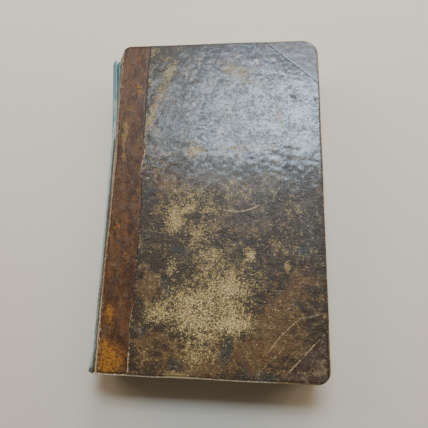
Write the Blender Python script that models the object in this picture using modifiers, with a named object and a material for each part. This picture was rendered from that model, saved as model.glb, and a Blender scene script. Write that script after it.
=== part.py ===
"""An antique half-leather book, closed and lying on its back cover.

+X runs from the spine to the fore-edge, +Y from the tail to the head and +Z from the back
cover to the front cover. The origin is at the bottom centre of the closed book.

Each cover is a board in a leather spine strip, two leather corners and a side paper, all folded
round its edges, with a pastedown inside. The two covers swing on empties that lie on their hinge
axes. The leaves are sewn on cords in sawn grooves across the rounded spine, and a cloth strip
covers the spine.
"""

import math

import bmesh
import bpy

MM = 0.001

# The closed book, over the leather of both covers
COVER_WIDTH = 216 * MM
COVER_HEIGHT = 346 * MM
BOOK_THICKNESS = 50 * MM

# Sheets and boards
BOARD_THICKNESS = 3.2 * MM
LEATHER_THICKNESS = 0.8 * MM
SIDE_PAPER_THICKNESS = 0.4 * MM
PASTEDOWN_THICKNESS = 0.4 * MM
FLYLEAF_THICKNESS = 0.3 * MM
SPINE_STRIP_THICKNESS = 0.9 * MM

# Room between pieces that lie on each other, and between a closed cover and the leaves
GLUE_GAP = 0.3 * MM
COVER_CLEARANCE = 0.4 * MM

# Cover outline
SPINE_HEAD_RADIUS = 12 * MM
SPINE_TAIL_RADIUS = 2 * MM
FORE_HEAD_RADIUS = 18 * MM
FORE_TAIL_RADIUS = 13 * MM
MIN_RADIUS = 0.5 * MM

# Coverings: how far each reaches over the board's outer face, and the fold on the inner face
SPINE_LEATHER_WIDTH = 33 * MM
HEAD_CORNER_ALONG_HEAD = 56 * MM
HEAD_CORNER_DOWN_FORE_EDGE = 52 * MM
TAIL_CORNER_ALONG_TAIL = 45 * MM
TAIL_CORNER_UP_FORE_EDGE = 48 * MM
TURN_IN = 8 * MM

# Leaves: the squares are what the covers stand out past them
SQUARE = 4 * MM
SHOULDER_INSET = 2 * MM
FORE_EDGE_HOLLOW = 8 * MM
FLYLEAF_INSET = 0.5 * MM

# Spine: the strip's crest stands out past the covers, and the strip has lifted at both ends
SPINE_RISE = 9.3 * MM
STRIP_ABOVE_COVER_TAIL = 1 * MM
STRIP_BELOW_COVER_HEAD = 5 * MM
HEAD_LIFT = 7.2 * MM
HEAD_LIFT_LENGTH = 105 * MM
TAIL_LIFT = 2.8 * MM
TAIL_LIFT_LENGTH = 26 * MM

# Sewing cords and headbands
CORD_COUNT = 5
CORD_RADIUS = 0.8 * MM
CORD_DEPTH = 0.1 * MM
CORD_END_SHARE = 0.93
KERF_END_SHARE = 1.16
BAND_RADIUS = 1.1 * MM
BAND_INSET = 0.5 * MM
BAND_END_SHARE = 0.8

# A lift grows with its share of the length to this power
LIFT_CURVE = 1.25

# Fineness of the curves
CORNER_STEPS = 8
SPINE_STEPS = 20
FORE_EDGE_STEPS = 14
STRIP_STEPS_ALONG = 26
TUBE_STEPS = 16
TUBE_SIDES = 2

COVER_THICKNESS = BOARD_THICKNESS + 2 * (GLUE_GAP + LEATHER_THICKNESS)
SPINE_EDGE_X = (SPINE_RISE + HEAD_LIFT - COVER_WIDTH) / 2
EDGE_COVERING = GLUE_GAP + LEATHER_THICKNESS
BOARD_WIDTH = COVER_WIDTH - EDGE_COVERING
BOARD_HEIGHT = COVER_HEIGHT - 2 * EDGE_COVERING
PAST_COVER = 10 * MM

BLOCK_LOW = COVER_THICKNESS + COVER_CLEARANCE + FLYLEAF_THICKNESS + GLUE_GAP
BLOCK_HALF = BOOK_THICKNESS / 2 - BLOCK_LOW
BLOCK_TAIL = -COVER_HEIGHT / 2 + SQUARE
BLOCK_HEAD = COVER_HEIGHT / 2 - SQUARE
BLOCK_FORE_X = SPINE_EDGE_X + COVER_WIDTH - SQUARE

# The spine is an arc about an axis along Y at this x and at half the book's thickness
SPINE_SAGITTA = SHOULDER_INSET + SPINE_RISE - SPINE_STRIP_THICKNESS - GLUE_GAP
SPINE_RADIUS = (BLOCK_HALF**2 + SPINE_SAGITTA**2) / (2 * SPINE_SAGITTA)
SPINE_CENTRE_X = SPINE_EDGE_X + SHOULDER_INSET - SPINE_SAGITTA + SPINE_RADIUS
SPINE_HALF_ANGLE = math.atan2(BLOCK_HALF, SPINE_RADIUS - SPINE_SAGITTA)

COLOURS = {
    "leather": ((0.16, 0.075, 0.035), 0.45),
    "side_paper": ((0.13, 0.10, 0.075), 0.4),
    "board": ((0.42, 0.34, 0.24), 0.9),
    "endpaper": ((0.62, 0.53, 0.38), 0.85),
    "leaves": ((0.68, 0.58, 0.42), 0.9),
    "spine_cloth": ((0.35, 0.50, 0.52), 0.6),
    "sewing_cord": ((0.55, 0.46, 0.32), 0.9),
    "headband": ((0.50, 0.36, 0.22), 0.8),
}


def clear_scene():
    for obj in list(bpy.data.objects):
        bpy.data.objects.remove(obj)


def new_collection(name):
    collection = bpy.data.collections.new(name)
    bpy.context.scene.collection.children.link(collection)
    return collection


def material(name):
    found = bpy.data.materials.get(name)
    if found:
        return found
    colour, roughness = COLOURS[name]
    made = bpy.data.materials.new(name)
    made.use_nodes = True
    shader = made.node_tree.nodes["Principled BSDF"]
    shader.inputs["Base Color"].default_value = (*colour, 1)
    shader.inputs["Roughness"].default_value = roughness
    shader.inputs["Metallic"].default_value = 0
    return made


def put_in(obj, collection, parent=None):
    collection.objects.link(obj)
    obj.parent = parent
    return obj


def cut_with(obj, tool, operation="DIFFERENCE"):
    modifier = obj.modifiers.new(tool.name, "BOOLEAN")
    modifier.operation = operation
    modifier.object = tool
    modifier.solver = "EXACT"


# Outlines


def rounded_outline(corners):
    """The points of a convex outline from its corners, anticlockwise, each (x, y, radius)."""
    points = []
    for index, (x, y, radius) in enumerate(corners):
        before = corners[index - 1]
        after = corners[(index + 1) % len(corners)]
        heading_in = math.atan2(y - before[1], x - before[0])
        heading_out = math.atan2(after[1] - y, after[0] - x)
        turn = (heading_out - heading_in) % (2 * math.pi)
        if radius <= 0:
            points.append((x, y))
            continue
        back = radius * math.tan(turn / 2)
        start_x = x - back * math.cos(heading_in)
        start_y = y - back * math.sin(heading_in)
        centre_x = start_x - radius * math.sin(heading_in)
        centre_y = start_y + radius * math.cos(heading_in)
        for step in range(CORNER_STEPS + 1):
            heading = heading_in + turn * step / CORNER_STEPS
            points.append((centre_x + radius * math.sin(heading), centre_y - radius * math.cos(heading)))
    return points


def board_outline(outset):
    """The board's outline, grown by outset on all four sides, about its hinge."""
    left, right = -outset, BOARD_WIDTH + outset
    tail, head = -BOARD_HEIGHT / 2 - outset, BOARD_HEIGHT / 2 + outset

    def radius(of_cover):
        return max(of_cover - EDGE_COVERING + outset, MIN_RADIUS)

    return rounded_outline(
        [
            (left, tail, radius(SPINE_TAIL_RADIUS)),
            (right, tail, radius(FORE_TAIL_RADIUS)),
            (right, head, radius(FORE_HEAD_RADIUS)),
            (left, head, radius(SPINE_HEAD_RADIUS)),
        ]
    )


def window_outline(inset, left):
    """The part of the inner face inside the folded edges; it is open towards the spine."""
    right = BOARD_WIDTH - inset
    tail, head = inset - BOARD_HEIGHT / 2, BOARD_HEIGHT / 2 - inset
    return rounded_outline(
        [
            (left, tail, 0),
            (right, tail, max(FORE_TAIL_RADIUS - inset, MIN_RADIUS)),
            (right, head, max(FORE_HEAD_RADIUS - inset, MIN_RADIUS)),
            (left, head, 0),
        ]
    )


def upright_strip(left, right):
    """A strip along the book that runs past the cover's tail and head."""
    past = COVER_HEIGHT / 2 + PAST_COVER
    return [(left, -past), (right, -past), (right, past), (left, past)]


def corner_outline(at_head, grown):
    """The triangle of a leather corner, running past the cover's edges, grown along its diagonal."""
    fore = BOARD_WIDTH + EDGE_COVERING
    if at_head:
        along, beside, sign = HEAD_CORNER_ALONG_HEAD, HEAD_CORNER_DOWN_FORE_EDGE, 1
    else:
        along, beside, sign = TAIL_CORNER_ALONG_TAIL, TAIL_CORNER_UP_FORE_EDGE, -1
    growth = grown * math.hypot(along, beside) / (along * beside)
    along, beside = along * (1 + growth), beside * (1 + growth)
    past_along = PAST_COVER * along / beside
    past_beside = PAST_COVER * beside / along
    edge = COVER_HEIGHT / 2
    points = [
        (fore - along - past_along, sign * (edge + PAST_COVER)),
        (fore + PAST_COVER, sign * (edge - beside - past_beside)),
        (fore + PAST_COVER, sign * (edge + PAST_COVER)),
    ]
    return points if at_head else points[::-1]


def block_outline():
    """The section of the leaves in X and Z: a round spine and a hollow fore-edge."""
    middle = BOOK_THICKNESS / 2
    points = []
    for step in range(SPINE_STEPS + 1):
        angle = SPINE_HALF_ANGLE * (1 - 2 * step / SPINE_STEPS)
        points.append(
            (
                SPINE_CENTRE_X - SPINE_RADIUS * math.cos(angle),
                middle + SPINE_RADIUS * math.sin(angle),
            )
        )
    radius = (BLOCK_HALF**2 + FORE_EDGE_HOLLOW**2) / (2 * FORE_EDGE_HOLLOW)
    half_angle = math.atan2(BLOCK_HALF, radius - FORE_EDGE_HOLLOW)
    centre_x = BLOCK_FORE_X - FORE_EDGE_HOLLOW + radius
    for step in range(FORE_EDGE_STEPS + 1):
        angle = half_angle * (2 * step / FORE_EDGE_STEPS - 1)
        points.append((centre_x - radius * math.cos(angle), middle + radius * math.sin(angle)))
    return points


# Solids


def flat_mesh(name, outline, low, high):
    """A flat piece from its outline in X and Y, between two heights, as a mesh object."""
    curve = bpy.data.curves.new(name + "_outline", "CURVE")
    curve.dimensions = "2D"
    curve.fill_mode = "BOTH"
    curve.extrude = (high - low) / 2
    spline = curve.splines.new("POLY")
    spline.points.add(len(outline) - 1)
    for point, (x, y) in zip(spline.points, outline):
        point.co = (x, y, 0, 1)
    spline.use_cyclic_u = True
    drawn = bpy.data.objects.new(name + "_drawn", curve)
    bpy.context.scene.collection.objects.link(drawn)
    obj = as_mesh(name, drawn)
    obj.location.z = (low + high) / 2
    return obj


def as_mesh(name, curve_object):
    """A mesh object in the place of a curve object, with the curve's loose caps welded on."""
    bpy.context.view_layer.update()
    graph = bpy.context.evaluated_depsgraph_get()
    mesh = bpy.data.meshes.new_from_object(curve_object.evaluated_get(graph))
    mesh.name = name
    shape = bmesh.new()
    shape.from_mesh(mesh)
    bmesh.ops.remove_doubles(shape, verts=shape.verts, dist=1e-6)
    bmesh.ops.recalc_face_normals(shape, faces=shape.faces)
    shape.to_mesh(mesh)
    shape.free()
    obj = bpy.data.objects.new(name, mesh)
    obj.matrix_world = curve_object.matrix_world.copy()
    bpy.data.objects.remove(curve_object)
    return obj


def spine_tube(name, y, path_radius, tube_radius, half_angle):
    """A round tube that follows the spine's arc at height y along the book, as a curve object."""
    curve = bpy.data.curves.new(name, "CURVE")
    curve.dimensions = "3D"
    curve.bevel_depth = tube_radius
    curve.bevel_resolution = TUBE_SIDES
    curve.use_fill_caps = True
    spline = curve.splines.new("POLY")
    spline.points.add(TUBE_STEPS)
    for step, point in enumerate(spline.points):
        angle = half_angle * (2 * step / TUBE_STEPS - 1)
        point.co = (-path_radius * math.cos(angle), 0, path_radius * math.sin(angle), 1)
    obj = bpy.data.objects.new(name, curve)
    obj.location = (SPINE_CENTRE_X, y, BOOK_THICKNESS / 2)
    return obj


# Covers


class CoverMaker:
    """Makes one cover's pieces about its hinge. Its outer face looks towards side, +1 up or -1 down."""

    def __init__(self, name, side, parts, tools):
        self.name, self.side = name, side
        self.parts, self.tools = parts, tools
        self.hinge = put_in(bpy.data.objects.new(name + "_hinge", None), parts)
        middle = BOOK_THICKNESS / 2
        self.hinge.location = (SPINE_EDGE_X, 0, middle + side * (middle - COVER_THICKNESS / 2))

    def piece(self, part, outline, inner, outer, slot):
        """A node of this cover between two distances from the board's middle, outer face positive."""
        low, high = sorted((self.side * inner, self.side * outer))
        obj = flat_mesh(f"{self.name}_{part}", outline, low, high)
        obj.data.materials.clear()
        obj.data.materials.append(material(slot))
        return put_in(obj, self.parts, self.hinge)

    def tool(self, part, outline, inner, outer):
        low, high = sorted((self.side * inner, self.side * outer))
        obj = flat_mesh(f"{self.name}_{part}_tool", outline, low, high)
        obj.hide_render = True
        obj.display_type = "WIRE"
        return put_in(obj, self.tools, self.hinge)

    def wrap(self, part, thickness, slot):
        """A covering that goes all round the board, to be cut to its own reach."""
        reach = BOARD_THICKNESS / 2 + GLUE_GAP + thickness
        outline = board_outline(GLUE_GAP + thickness)
        return self.piece(part, outline, -reach, reach, slot)

    def make_tools(self):
        face = BOARD_THICKNESS / 2 + GLUE_GAP
        past = COVER_THICKNESS
        strip = upright_strip(0, SPINE_LEATHER_WIDTH)
        clear = upright_strip(-PAST_COVER, SPINE_LEATHER_WIDTH + GLUE_GAP)
        self.board_room = self.tool("board_room", board_outline(GLUE_GAP), -face, face)
        self.window = self.tool("window", window_outline(TURN_IN, -PAST_COVER), -past, 0)
        self.strip_reach = self.tool("strip_reach", strip, -past, past)
        self.strip_clear = self.tool("strip_clear", clear, -past, past)
        self.corner_reach = {}
        self.corner_clear = {}
        for end, at_head in (("head", True), ("tail", False)):
            reach, clear = corner_outline(at_head, 0), corner_outline(at_head, GLUE_GAP)
            self.corner_reach[end] = self.tool(f"{end}_corner_reach", reach, -past, past)
            self.corner_clear[end] = self.tool(f"{end}_corner_clear", clear, -past, past)

    def make_board(self):
        self.piece("board", board_outline(0), -BOARD_THICKNESS / 2, BOARD_THICKNESS / 2, "board")

    def make_spine_leather(self):
        leather = self.wrap("spine_leather", LEATHER_THICKNESS, "leather")
        cut_with(leather, self.strip_reach, "INTERSECT")
        cut_with(leather, self.board_room)
        cut_with(leather, self.window)

    def make_corners(self):
        for end, reach in self.corner_reach.items():
            corner = self.wrap(f"{end}_corner", LEATHER_THICKNESS, "leather")
            cut_with(corner, reach, "INTERSECT")
            cut_with(corner, self.board_room)
            cut_with(corner, self.window)

    def make_side_paper(self):
        paper = self.wrap("side_paper", SIDE_PAPER_THICKNESS, "side_paper")
        cut_with(paper, self.strip_clear)
        for clear in self.corner_clear.values():
            cut_with(paper, clear)
        cut_with(paper, self.board_room)
        cut_with(paper, self.window)

    def make_pastedown(self):
        face = BOARD_THICKNESS / 2 + GLUE_GAP
        outline = window_outline(TURN_IN + GLUE_GAP, 0)
        self.piece("pastedown", outline, -face - PASTEDOWN_THICKNESS, -face, "endpaper")

    def make(self):
        self.make_tools()
        self.make_board()
        self.make_spine_leather()
        self.make_corners()
        self.make_side_paper()
        self.make_pastedown()


# Leaves and spine


def make_text_block(parts, tools):
    """The sewn leaves, with a sawn groove across the spine for each cord."""
    half_height = (BLOCK_HEAD - BLOCK_TAIL) / 2
    block = flat_mesh("text_block", block_outline(), -half_height, half_height)
    block.rotation_euler.x = math.pi / 2
    block.data.materials.append(material("leaves"))
    put_in(block, parts)
    for number, y in enumerate(cord_places(), 1):
        groove = spine_tube(
            f"cord_{number}_groove_curve",
            y,
            cord_path_radius(),
            CORD_RADIUS + GLUE_GAP,
            SPINE_HALF_ANGLE * KERF_END_SHARE,
        )
        bpy.context.scene.collection.objects.link(groove)
        tool = as_mesh(f"cord_{number}_groove_tool", groove)
        tool.hide_render = True
        tool.display_type = "WIRE"
        put_in(tool, tools)
        cut_with(block, tool)


def cord_places():
    spacing = (BLOCK_HEAD - BLOCK_TAIL) / (CORD_COUNT + 1)
    return [BLOCK_TAIL + spacing * (number + 1) for number in range(CORD_COUNT)]


def cord_path_radius():
    return SPINE_RADIUS - CORD_RADIUS - CORD_DEPTH


def make_sewing_cords(parts):
    for number, y in enumerate(cord_places(), 1):
        cord = spine_tube(
            f"sewing_cord_{number}",
            y,
            cord_path_radius(),
            CORD_RADIUS,
            SPINE_HALF_ANGLE * CORD_END_SHARE,
        )
        cord.data.materials.append(material("sewing_cord"))
        put_in(cord, parts)


def make_headbands(parts):
    """A stuffed band at each end of the spine, on the edge of the leaves."""
    off_edge = GLUE_GAP + BAND_RADIUS
    path_radius = SPINE_RADIUS - BAND_RADIUS - BAND_INSET
    for name, y in (("head_band", BLOCK_HEAD + off_edge), ("tail_band", BLOCK_TAIL - off_edge)):
        band = spine_tube(name, y, path_radius, BAND_RADIUS, SPINE_HALF_ANGLE * BAND_END_SHARE)
        band.data.materials.append(material("headband"))
        put_in(band, parts)


def make_flyleaves(parts):
    left = SPINE_EDGE_X + FLYLEAF_INSET
    right = BLOCK_FORE_X - FLYLEAF_INSET
    tail, head = BLOCK_TAIL + FLYLEAF_INSET, BLOCK_HEAD - FLYLEAF_INSET
    outline = [(left, tail), (right, tail), (right, head), (left, head)]
    near = BLOCK_HALF + GLUE_GAP
    for name, side in (("front_flyleaf", 1), ("back_flyleaf", -1)):
        low, high = sorted((side * near, side * (near + FLYLEAF_THICKNESS)))
        leaf = flat_mesh(name, outline, low, high)
        leaf.location.z += BOOK_THICKNESS / 2
        leaf.data.materials.append(material("endpaper"))
        put_in(leaf, parts)


def strip_lift(y, tail, head):
    """How far the strip has come away from the spine at y: more and more towards each end."""
    towards_head = max(0.0, 1 - (head - y) / HEAD_LIFT_LENGTH)
    towards_tail = max(0.0, 1 - (y - tail) / TAIL_LIFT_LENGTH)
    return HEAD_LIFT * towards_head**LIFT_CURVE + TAIL_LIFT * towards_tail**LIFT_CURVE


def make_spine_strip(parts):
    """A sheet bent round the spine: a flat grid rolled to the spine's arc, then thickened outwards."""
    bpy.ops.mesh.primitive_grid_add(
        x_subdivisions=SPINE_STEPS,
        y_subdivisions=STRIP_STEPS_ALONG,
        size=1,
        location=(0, 0, 0),
    )
    strip = bpy.context.object
    strip.name = "spine_strip"
    strip.data.name = "spine_strip"
    for collection in list(strip.users_collection):
        collection.objects.unlink(strip)
    inner = SPINE_RADIUS + GLUE_GAP
    half_angle = math.asin(BLOCK_HALF / (inner + SPINE_STRIP_THICKNESS))
    tail = -COVER_HEIGHT / 2 + STRIP_ABOVE_COVER_TAIL
    head = COVER_HEIGHT / 2 - STRIP_BELOW_COVER_HEAD
    for vertex in strip.data.vertices:
        angle = 2 * half_angle * vertex.co.x
        y = tail + (vertex.co.y + 0.5) * (head - tail)
        x = -inner * math.cos(angle) - strip_lift(y, tail, head)
        vertex.co = (x, y, inner * math.sin(angle))
    strip.location = (SPINE_CENTRE_X, 0, BOOK_THICKNESS / 2)
    thicken = strip.modifiers.new("thickness", "SOLIDIFY")
    thicken.thickness = SPINE_STRIP_THICKNESS
    thicken.offset = 1
    strip.data.materials.append(material("spine_cloth"))
    put_in(strip, parts)


def main():
    clear_scene()
    parts = new_collection("antique_book")
    tools = new_collection("cutting_tools")
    for name, side in (("front", 1), ("back", -1)):
        CoverMaker(name, side, parts, tools).make()
    make_text_block(parts, tools)
    make_sewing_cords(parts)
    make_headbands(parts)
    make_flyleaves(parts)
    make_spine_strip(parts)
    bpy.context.view_layer.update()


main()
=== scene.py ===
"""The looks of an antique half-leather book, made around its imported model.

The book lies on its back cover: +X runs from the spine to the fore-edge, +Y from tail to head and
+Z up to the front cover. Each cover's coverings are cut from one sheet that is folded round the board.
"""

import math
from contextlib import contextmanager
from typing import NamedTuple

import bmesh
import bpy
import numpy as np
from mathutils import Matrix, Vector, kdtree, noise


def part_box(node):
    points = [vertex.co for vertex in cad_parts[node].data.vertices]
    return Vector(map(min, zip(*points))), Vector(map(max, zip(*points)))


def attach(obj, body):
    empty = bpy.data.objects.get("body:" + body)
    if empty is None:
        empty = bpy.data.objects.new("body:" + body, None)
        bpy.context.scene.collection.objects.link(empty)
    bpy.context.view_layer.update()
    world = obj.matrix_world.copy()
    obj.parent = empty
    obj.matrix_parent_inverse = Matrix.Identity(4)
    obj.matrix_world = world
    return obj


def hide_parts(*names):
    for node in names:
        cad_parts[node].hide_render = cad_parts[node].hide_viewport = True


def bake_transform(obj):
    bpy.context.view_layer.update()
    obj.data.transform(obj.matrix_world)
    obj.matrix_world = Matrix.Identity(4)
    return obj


bl_info = {
    "name": "Antique Book",
    "version": (1, 0, 0),
    "blender": (4, 5, 0),
    "location": "3D View > Sidebar > Antique Book",
    "description": "Builds a worn half-leather book, its leaves, its spine lining and a studio",
    "category": "Object",
}

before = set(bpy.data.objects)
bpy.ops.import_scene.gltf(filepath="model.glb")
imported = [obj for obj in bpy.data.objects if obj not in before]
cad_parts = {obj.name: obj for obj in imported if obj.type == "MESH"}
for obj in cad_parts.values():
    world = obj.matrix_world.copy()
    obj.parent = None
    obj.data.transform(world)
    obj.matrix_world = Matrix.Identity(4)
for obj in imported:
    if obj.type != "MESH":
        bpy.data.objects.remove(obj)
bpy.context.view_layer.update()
MM = 0.001
SIDES = ("front", "back")
BLOCK = "book_block"

# Coverings and endpapers
RIM_LAYERS = ("rim_place", "rim_outward")
TORN_REACH = 9 * MM  # how far from the joint its tearing draws the coverings
PARED_LEATHER = 7 * MM  # how far the leather runs on under the side paper
PASTEDOWN_MARGIN = 4.5 * MM
ENDPAPER_THICKNESS = 0.15 * MM

# Leaves and spine lining
LEAF_LEVELS = 92
LEVELS_IN_GATHER = 7
FORE_HOLLOW = 8 * MM
SHOULDER_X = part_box("front_flyleaf")[0].x + 1.5 * MM
SPINE_RISE = 9.3 * MM
SPINE_CREST_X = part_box("front_spine_leather")[0].x - SPINE_RISE
HEAD_LIFT_LENGTH = 105 * MM
TAIL_LIFT = 2.8 * MM
TAIL_LIFT_LENGTH = 26 * MM
LIFT_CURVE = 1.25

# Studio, in metres
CAMERA_FOCAL = 400 / 428
CAMERA_FROM_COVER = (148.5 * MM, 62.0 * MM, 379.8 * MM)
CAMERA_TURN = (13.72, 5.61, 1.41)
WINDOW_HEIGHT = 1.55
BOOK_MIDDLE = (0, 0, 0.05)
# The windows face straight down: name, x and y, size, power in watts and colour
WINDOWS = (
    ("window", (0.270, 0.870), (0.43, 0.50), 18, (0.62, 0.81, 1.0)),
    ("window_middle", (-0.100, 0.870), (0.31, 0.50), 8.4, (0.66, 0.83, 1.0)),
    ("window_side", (-0.380, 0.870), (0.25, 0.50), 2.8, (0.66, 0.83, 1.0)),
    ("window_top", (0.120, 1.210), (0.70, 0.18), 2.0, (0.38, 0.58, 1.0)),
)
# The lamps face the book: name, place, size, power in watts and colour
LAMPS = (
    ("skylight", (0.35, 2.10, 1.30), (1.20, 0.60), 30, (1.0, 0.86, 0.70)),
    ("left_softbox", (-1.25, 0.85, 0.95), (1.0, 1.0), 10.5, (1.0, 0.83, 0.62)),
    ("right_softbox", (1.25, 0.85, 0.95), (1.0, 1.0), 10.5, (1.0, 0.85, 0.66)),
)


# Sizes and colours that a user may change


def length(name, description, default):
    return bpy.props.FloatProperty(
        name=name, description=description, default=default, unit="LENGTH", subtype="DISTANCE", precision=5
    )


def colour(name, description, default):
    return bpy.props.FloatVectorProperty(
        name=name, description=description, default=default, size=3, min=0, max=1, subtype="COLOR"
    )


def amount(name, description, default, low=0.0, high=1.0):
    return bpy.props.FloatProperty(name=name, description=description, default=default, min=low, max=high)


class BookSizes(bpy.types.PropertyGroup):
    front_cell: length("Front cell", "Spacing of the front covering's mesh", 1.4 * MM)
    back_cell: length("Back cell", "Spacing of the back covering's mesh", 2.2 * MM)
    edge_radius: length("Edge radius", "How round the boards' edges have worn", 1.2 * MM)
    head_spine_radius: length("Head spine radius", "Cover corner at head and spine", 12 * MM)
    tail_spine_radius: length("Tail spine radius", "Cover corner at tail and spine", 2.2 * MM)
    head_fore_radius: length("Head fore radius", "Cover corner at head and fore-edge", 18 * MM)
    tail_fore_radius: length("Tail fore radius", "Cover corner at tail and fore-edge", 13 * MM)
    turn_in: length("Turn-in", "How far the coverings are folded over the inner face", 8 * MM)
    overlap: length("Overlap", "How far the side paper lies over the leather", 1.6 * MM)
    leather_thickness: length("Leather thickness", "Thickness of the leather", 0.5 * MM)
    paper_thickness: length("Side paper thickness", "Thickness of the side paper", 0.22 * MM)
    board_inset: length("Board inset", "Depth of the board under the coverings", 1.05 * MM)


class BookColours(bpy.types.PropertyGroup):
    leather_red: colour("Leather red-brown", "Main colour of the leather", (0.130, 0.058, 0.024))
    leather_dark: colour("Leather dark", "Handled, darkened leather", (0.060, 0.029, 0.015))
    leather_tan: colour("Leather tan", "Thin-worn leather", (0.190, 0.082, 0.026))
    leather_grey: colour("Leather grey", "Leather dulled by handling", (0.095, 0.066, 0.052))
    leather_olive: colour("Leather olive", "Leather with its surface worn to gold", (0.27, 0.152, 0.034))
    leather_orange: colour("Leather orange", "Leather with its surface rubbed off", (0.40, 0.165, 0.024))
    paper_black: colour("Paper black-brown", "Darkest pattern of the side paper", (0.044, 0.028, 0.015))
    paper_brown: colour("Paper brown", "Brown pattern of the side paper", (0.122, 0.060, 0.021))
    paper_olive: colour("Paper olive", "Olive pattern of the side paper", (0.112, 0.066, 0.024))
    paper_maroon: colour("Paper maroon", "Maroon pattern of the side paper", (0.115, 0.045, 0.022))
    paper_gold: colour("Paper gold-brown", "Light flecks in the brown pattern", (0.25, 0.138, 0.044))
    paper_blue: colour("Paper blue", "Blue-black pattern of the side paper", (0.031, 0.040, 0.038))
    paper_rubbed: colour("Paper rubbed", "Bare fibres where the side paper is rubbed", (0.50, 0.355, 0.135))
    # Grey haze that is part dust and part painted sheen near the window's reflection
    paper_dust_and_sheen: colour("Paper dust", "Grey haze where handling dulled the side paper", (0.150, 0.128, 0.112))
    paper_crust: colour("Paper crust", "Lightest, roughened fibres", (0.90, 0.70, 0.36))
    fibre: colour("Torn fibre", "Torn edges of leather, paper and board", (0.55, 0.40, 0.22))
    chafed: colour("Chafed edge", "Board laid bare along the tail edge", (0.80, 0.66, 0.44))
    edge_brown: colour("Edge brown", "Coverings rubbed thin round the board's edges", (0.27, 0.145, 0.045))
    leaves: colour("Leaves", "Edges of the leaves", (0.50, 0.40, 0.26))
    endpaper: colour("Endpaper", "Pastedowns and flyleaves", (0.60, 0.50, 0.35))
    cloth: colour("Spine cloth", "Blue-green lining of the spine", (0.16, 0.34, 0.38))
    cloth_pale: colour("Pale spine cloth", "Faded and scuffed lining", (0.58, 0.68, 0.68))
    cloth_dusty: colour("Dusty spine cloth", "Lining greyed by dust", (0.24, 0.28, 0.25))
    # This colour, darkened, is also the painted shade on the lining under the covers' edges
    cloth_soil_and_shade: colour("Soiled spine cloth", "Old glue and dirt on the lining", (0.16, 0.125, 0.075))
    cord: colour("Cord", "Sewing cords", (0.42, 0.33, 0.20))
    floor: colour("Floor", "The floor the book lies on", (0.80, 0.71, 0.58))


def sizes():
    return bpy.context.scene.book_sizes


def colours():
    return bpy.context.scene.book_colours


# Shader maths


class Value:
    """A socket that Python arithmetic works on: an expression adds its Math nodes."""

    def __init__(self, maker, socket):
        self.maker, self.socket = maker, socket

    def math(self, operation, *others, clamp=False):
        links = {index: other for index, other in enumerate((self, *others))}
        return self.maker.node("ShaderNodeMath", {"operation": operation, "use_clamp": clamp}, links)

    def __add__(self, other):
        return self.math("ADD", other)

    def __sub__(self, other):
        return self.math("SUBTRACT", other)

    def __mul__(self, other):
        return self.math("MULTIPLY", other)

    def __truediv__(self, other):
        return self.math("DIVIDE", other)

    def __radd__(self, other):
        return self.maker.number(other) + self

    def __rsub__(self, other):
        return self.maker.number(other) - self

    def __rmul__(self, other):
        return self.maker.number(other) * self

    def clamp(self):
        return self.math("ADD", 0.0, clamp=True)

    def smaller(self, other):
        return self.math("MINIMUM", other)

    def size(self):
        return self.math("ABSOLUTE")

    def ease(self, low, high, to_low=0.0, to_high=1.0):
        """A smooth step from to_low to to_high as the value goes from low to high."""
        return self.maker.node(
            "ShaderNodeMapRange",
            {"interpolation_type": "SMOOTHSTEP"},
            {"Value": self, "From Min": low, "From Max": high, "To Min": to_low, "To Max": to_high},
        )

    def fade(self, low, high):
        """A smooth step down from 1 to 0 as the value goes from low to high."""
        return self.ease(low, high, 1.0, 0.0)

    def near(self, place, inner, outer):
        """1 within inner of a place, and 0 beyond outer."""
        return (self - place).size().fade(inner, outer)


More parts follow.
